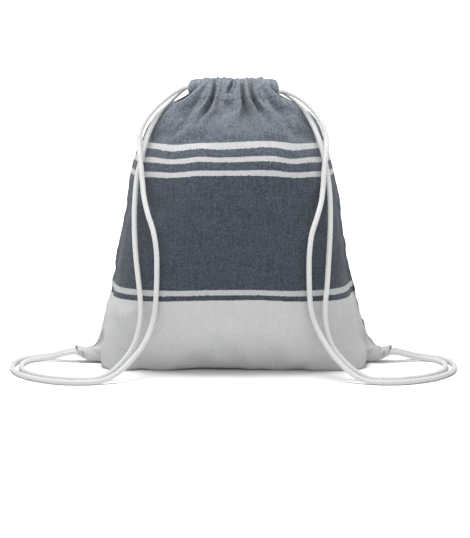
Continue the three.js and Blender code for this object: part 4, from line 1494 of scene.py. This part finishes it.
class BACKPACK_OT_overlocks(bpy.types.Operator):
    """Make the overlocked seam allowances inside the bag"""

    bl_idname = "backpack.overlocks"
    bl_label = "Overlocked seams"

    def execute(self, context):
        for name, side in SIDES.items():
            heights = np.linspace(*SIDE_OVERLOCK, OVERLOCK_POINTS)
            half_width, level = smooth_table(SIDE_LINE, heights).T
            scale = 1.0 if side < 0 else RIGHT_SIDE_SHARE
            seam = np.stack([side * half_width * scale, 0 * level, level], axis=-1)
            along = np.abs(unit(np.gradient(seam, axis=0)))
            inward = np.stack([-side * along[:, 2], 0 * level, -along[:, 0]], axis=-1)
            self.allowance(context, f"{name}_side_overlock", "dark_thread", seam, inward)
        row = np.linspace(-BOTTOM_OVERLOCK, BOTTOM_OVERLOCK, OVERLOCK_POINTS)
        seam = np.stack([row, 0 * row, 0 * row], axis=-1)
        inward = np.tile((0.0, 0.0, 1.0), (OVERLOCK_POINTS, 1))
        self.allowance(context, "bottom_overlock", "pale_thread", seam, inward)
        return {"FINISHED"}

    @staticmethod
    def allowance(context, name, slot, seam, inward):
        """Two edges of cloth side by side, whipped over with thread."""
        cloth, stitches = context.scene.backpack_cloth, context.scene.backpack_stitches
        material = finishes(context)[slot]
        reach = np.linspace(*OVERLOCK_SPAN, OVERLOCK_COLUMNS)
        points = seam[:, None] + inward[:, None] * reach[None, :, None]
        run = distances(seam)
        uv = np.stack(np.broadcast_arrays(reach[None, :], run[:, None]), axis=-1)
        strip = new_object(f"{name} cloth", grid_mesh(name, points, uv), material)
        wall = strip.modifiers.new("Two layers", "SOLIDIFY")
        wall.thickness, wall.offset = 2 * cloth.thickness, 0
        evaluated = strip.evaluated_get(bpy.context.evaluated_depsgraph_get())
        solid = bpy.data.meshes.new_from_object(evaluated)
        bpy.data.objects.remove(strip)
        count = int(run[-1] / stitches.length)
        at = np.linspace(0, run[-1], 4 * count)
        base, way = read_at(at, run, seam), read_at(at, run, inward)
        beat = np.arange(4 * count) % 4
        near, far = OVERLOCK_SPAN[0] + WHIP_NEAR, OVERLOCK_SPAN[1] + WHIP_PAST
        depth = np.where(beat % 3 == 0, near, far)
        path = base + way * depth[:, None]
        path[:, 1] += np.where(beat < 2, -WHIP_ASIDE, WHIP_ASIDE)
        values = {"Thread diameter": stitches.thread}
        thread = sewn_object(
            f"{name} thread", [path], "Thread along path", thread_tree, values, material
        )
        whole = joined(f"{name}_sewn", [solid, thread.data.copy()], material)
        bpy.data.objects.remove(thread)
        finished(whole, slot, BAG, name)


BAR_TACK_TURNS, BAR_TACK_SWING = 24, 0.003


class BACKPACK_OT_bar_tacks(bpy.types.Operator):
    """Sew the bar tacks on the corner loops and at the ends of the side slits"""

    bl_idname = "backpack.bar_tacks"
    bl_label = "Bar tacks"

    def execute(self, context):
        stitches = context.scene.backpack_stitches
        for name, side in SIDES.items():
            for node, slot, wide in (
                (f"{name}_loop_bartack", "pale_thread", False),
                (f"{name}_slit_bartack", "dark_thread", True),
            ):
                low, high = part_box(node)
                middle, size = (low + high) / 2, high - low
                path = []
                for step in range(BAR_TACK_TURNS):
                    share = step / (BAR_TACK_TURNS - 1) - 0.5
                    swing = 0.5 if step % 2 else -0.5
                    if wide:
                        offset = (share * size.x, swing * BAR_TACK_SWING, -side * share * size.z)
                    else:
                        offset = (swing * size.x, 0.0, share * size.z)
                    path.append(middle + Vector(offset))
                values = {"Thread diameter": stitches.thread}
                material = finishes(context)[slot]
                tack = sewn_object(
                    f"{node}_sewn", [path], "Thread along path", thread_tree, values, material
                )
                finished(tack, slot, BAG, node)
        return {"FINISHED"}


OPERATORS = (
    BACKPACK_OT_stage, BACKPACK_OT_cords, BACKPACK_OT_cord_ends, BACKPACK_OT_panels,
    BACKPACK_OT_casings, BACKPACK_OT_corner_loops, BACKPACK_OT_casing_stitching,
    BACKPACK_OT_overlocks, BACKPACK_OT_bar_tacks,
)


SETTINGS = {
    "backpack_cloth": (ClothSettings, "Cloth"),
    "backpack_cords": (CordSettings, "Cords"),
    "backpack_stitches": (StitchSettings, "Sewing"),
    "backpack_stage": (StageSettings, "Stage"),
}


class BACKPACK_PT_sidebar(bpy.types.Panel):
    """Settings and pieces of the drawstring backpack"""

    bl_label = "Drawstring Backpack"
    bl_idname = "BACKPACK_PT_sidebar"
    bl_space_type = "VIEW_3D"
    bl_region_type = "UI"
    bl_category = "Backpack"

    def draw(self, context):
        for attribute, (settings, label) in SETTINGS.items():
            box = self.layout.box()
            box.label(text=label)
            for name in settings.__annotations__:
                box.prop(getattr(context.scene, attribute), name)
        for operator in OPERATORS:
            self.layout.operator(operator.bl_idname)


def register():
    for attribute, (settings, _) in SETTINGS.items():
        bpy.utils.register_class(settings)
        setattr(bpy.types.Scene, attribute, PointerProperty(type=settings))
    for kind in (*OPERATORS, BACKPACK_PT_sidebar):
        bpy.utils.register_class(kind)


def unregister():
    for kind in (BACKPACK_PT_sidebar, *reversed(OPERATORS)):
        bpy.utils.unregister_class(kind)
    for attribute, (settings, _) in reversed(SETTINGS.items()):
        delattr(bpy.types.Scene, attribute)
        bpy.utils.unregister_class(settings)


def main():
    register()
    bpy.ops.backpack.stage()
    bpy.ops.backpack.cords()
    bpy.ops.backpack.cord_ends()
    bpy.ops.backpack.panels()
    bpy.ops.backpack.casings()
    bpy.ops.backpack.corner_loops()
    bpy.ops.backpack.casing_stitching()
    bpy.ops.backpack.overlocks()
    bpy.ops.backpack.bar_tacks()


if __name__ == "__main__":
    main()
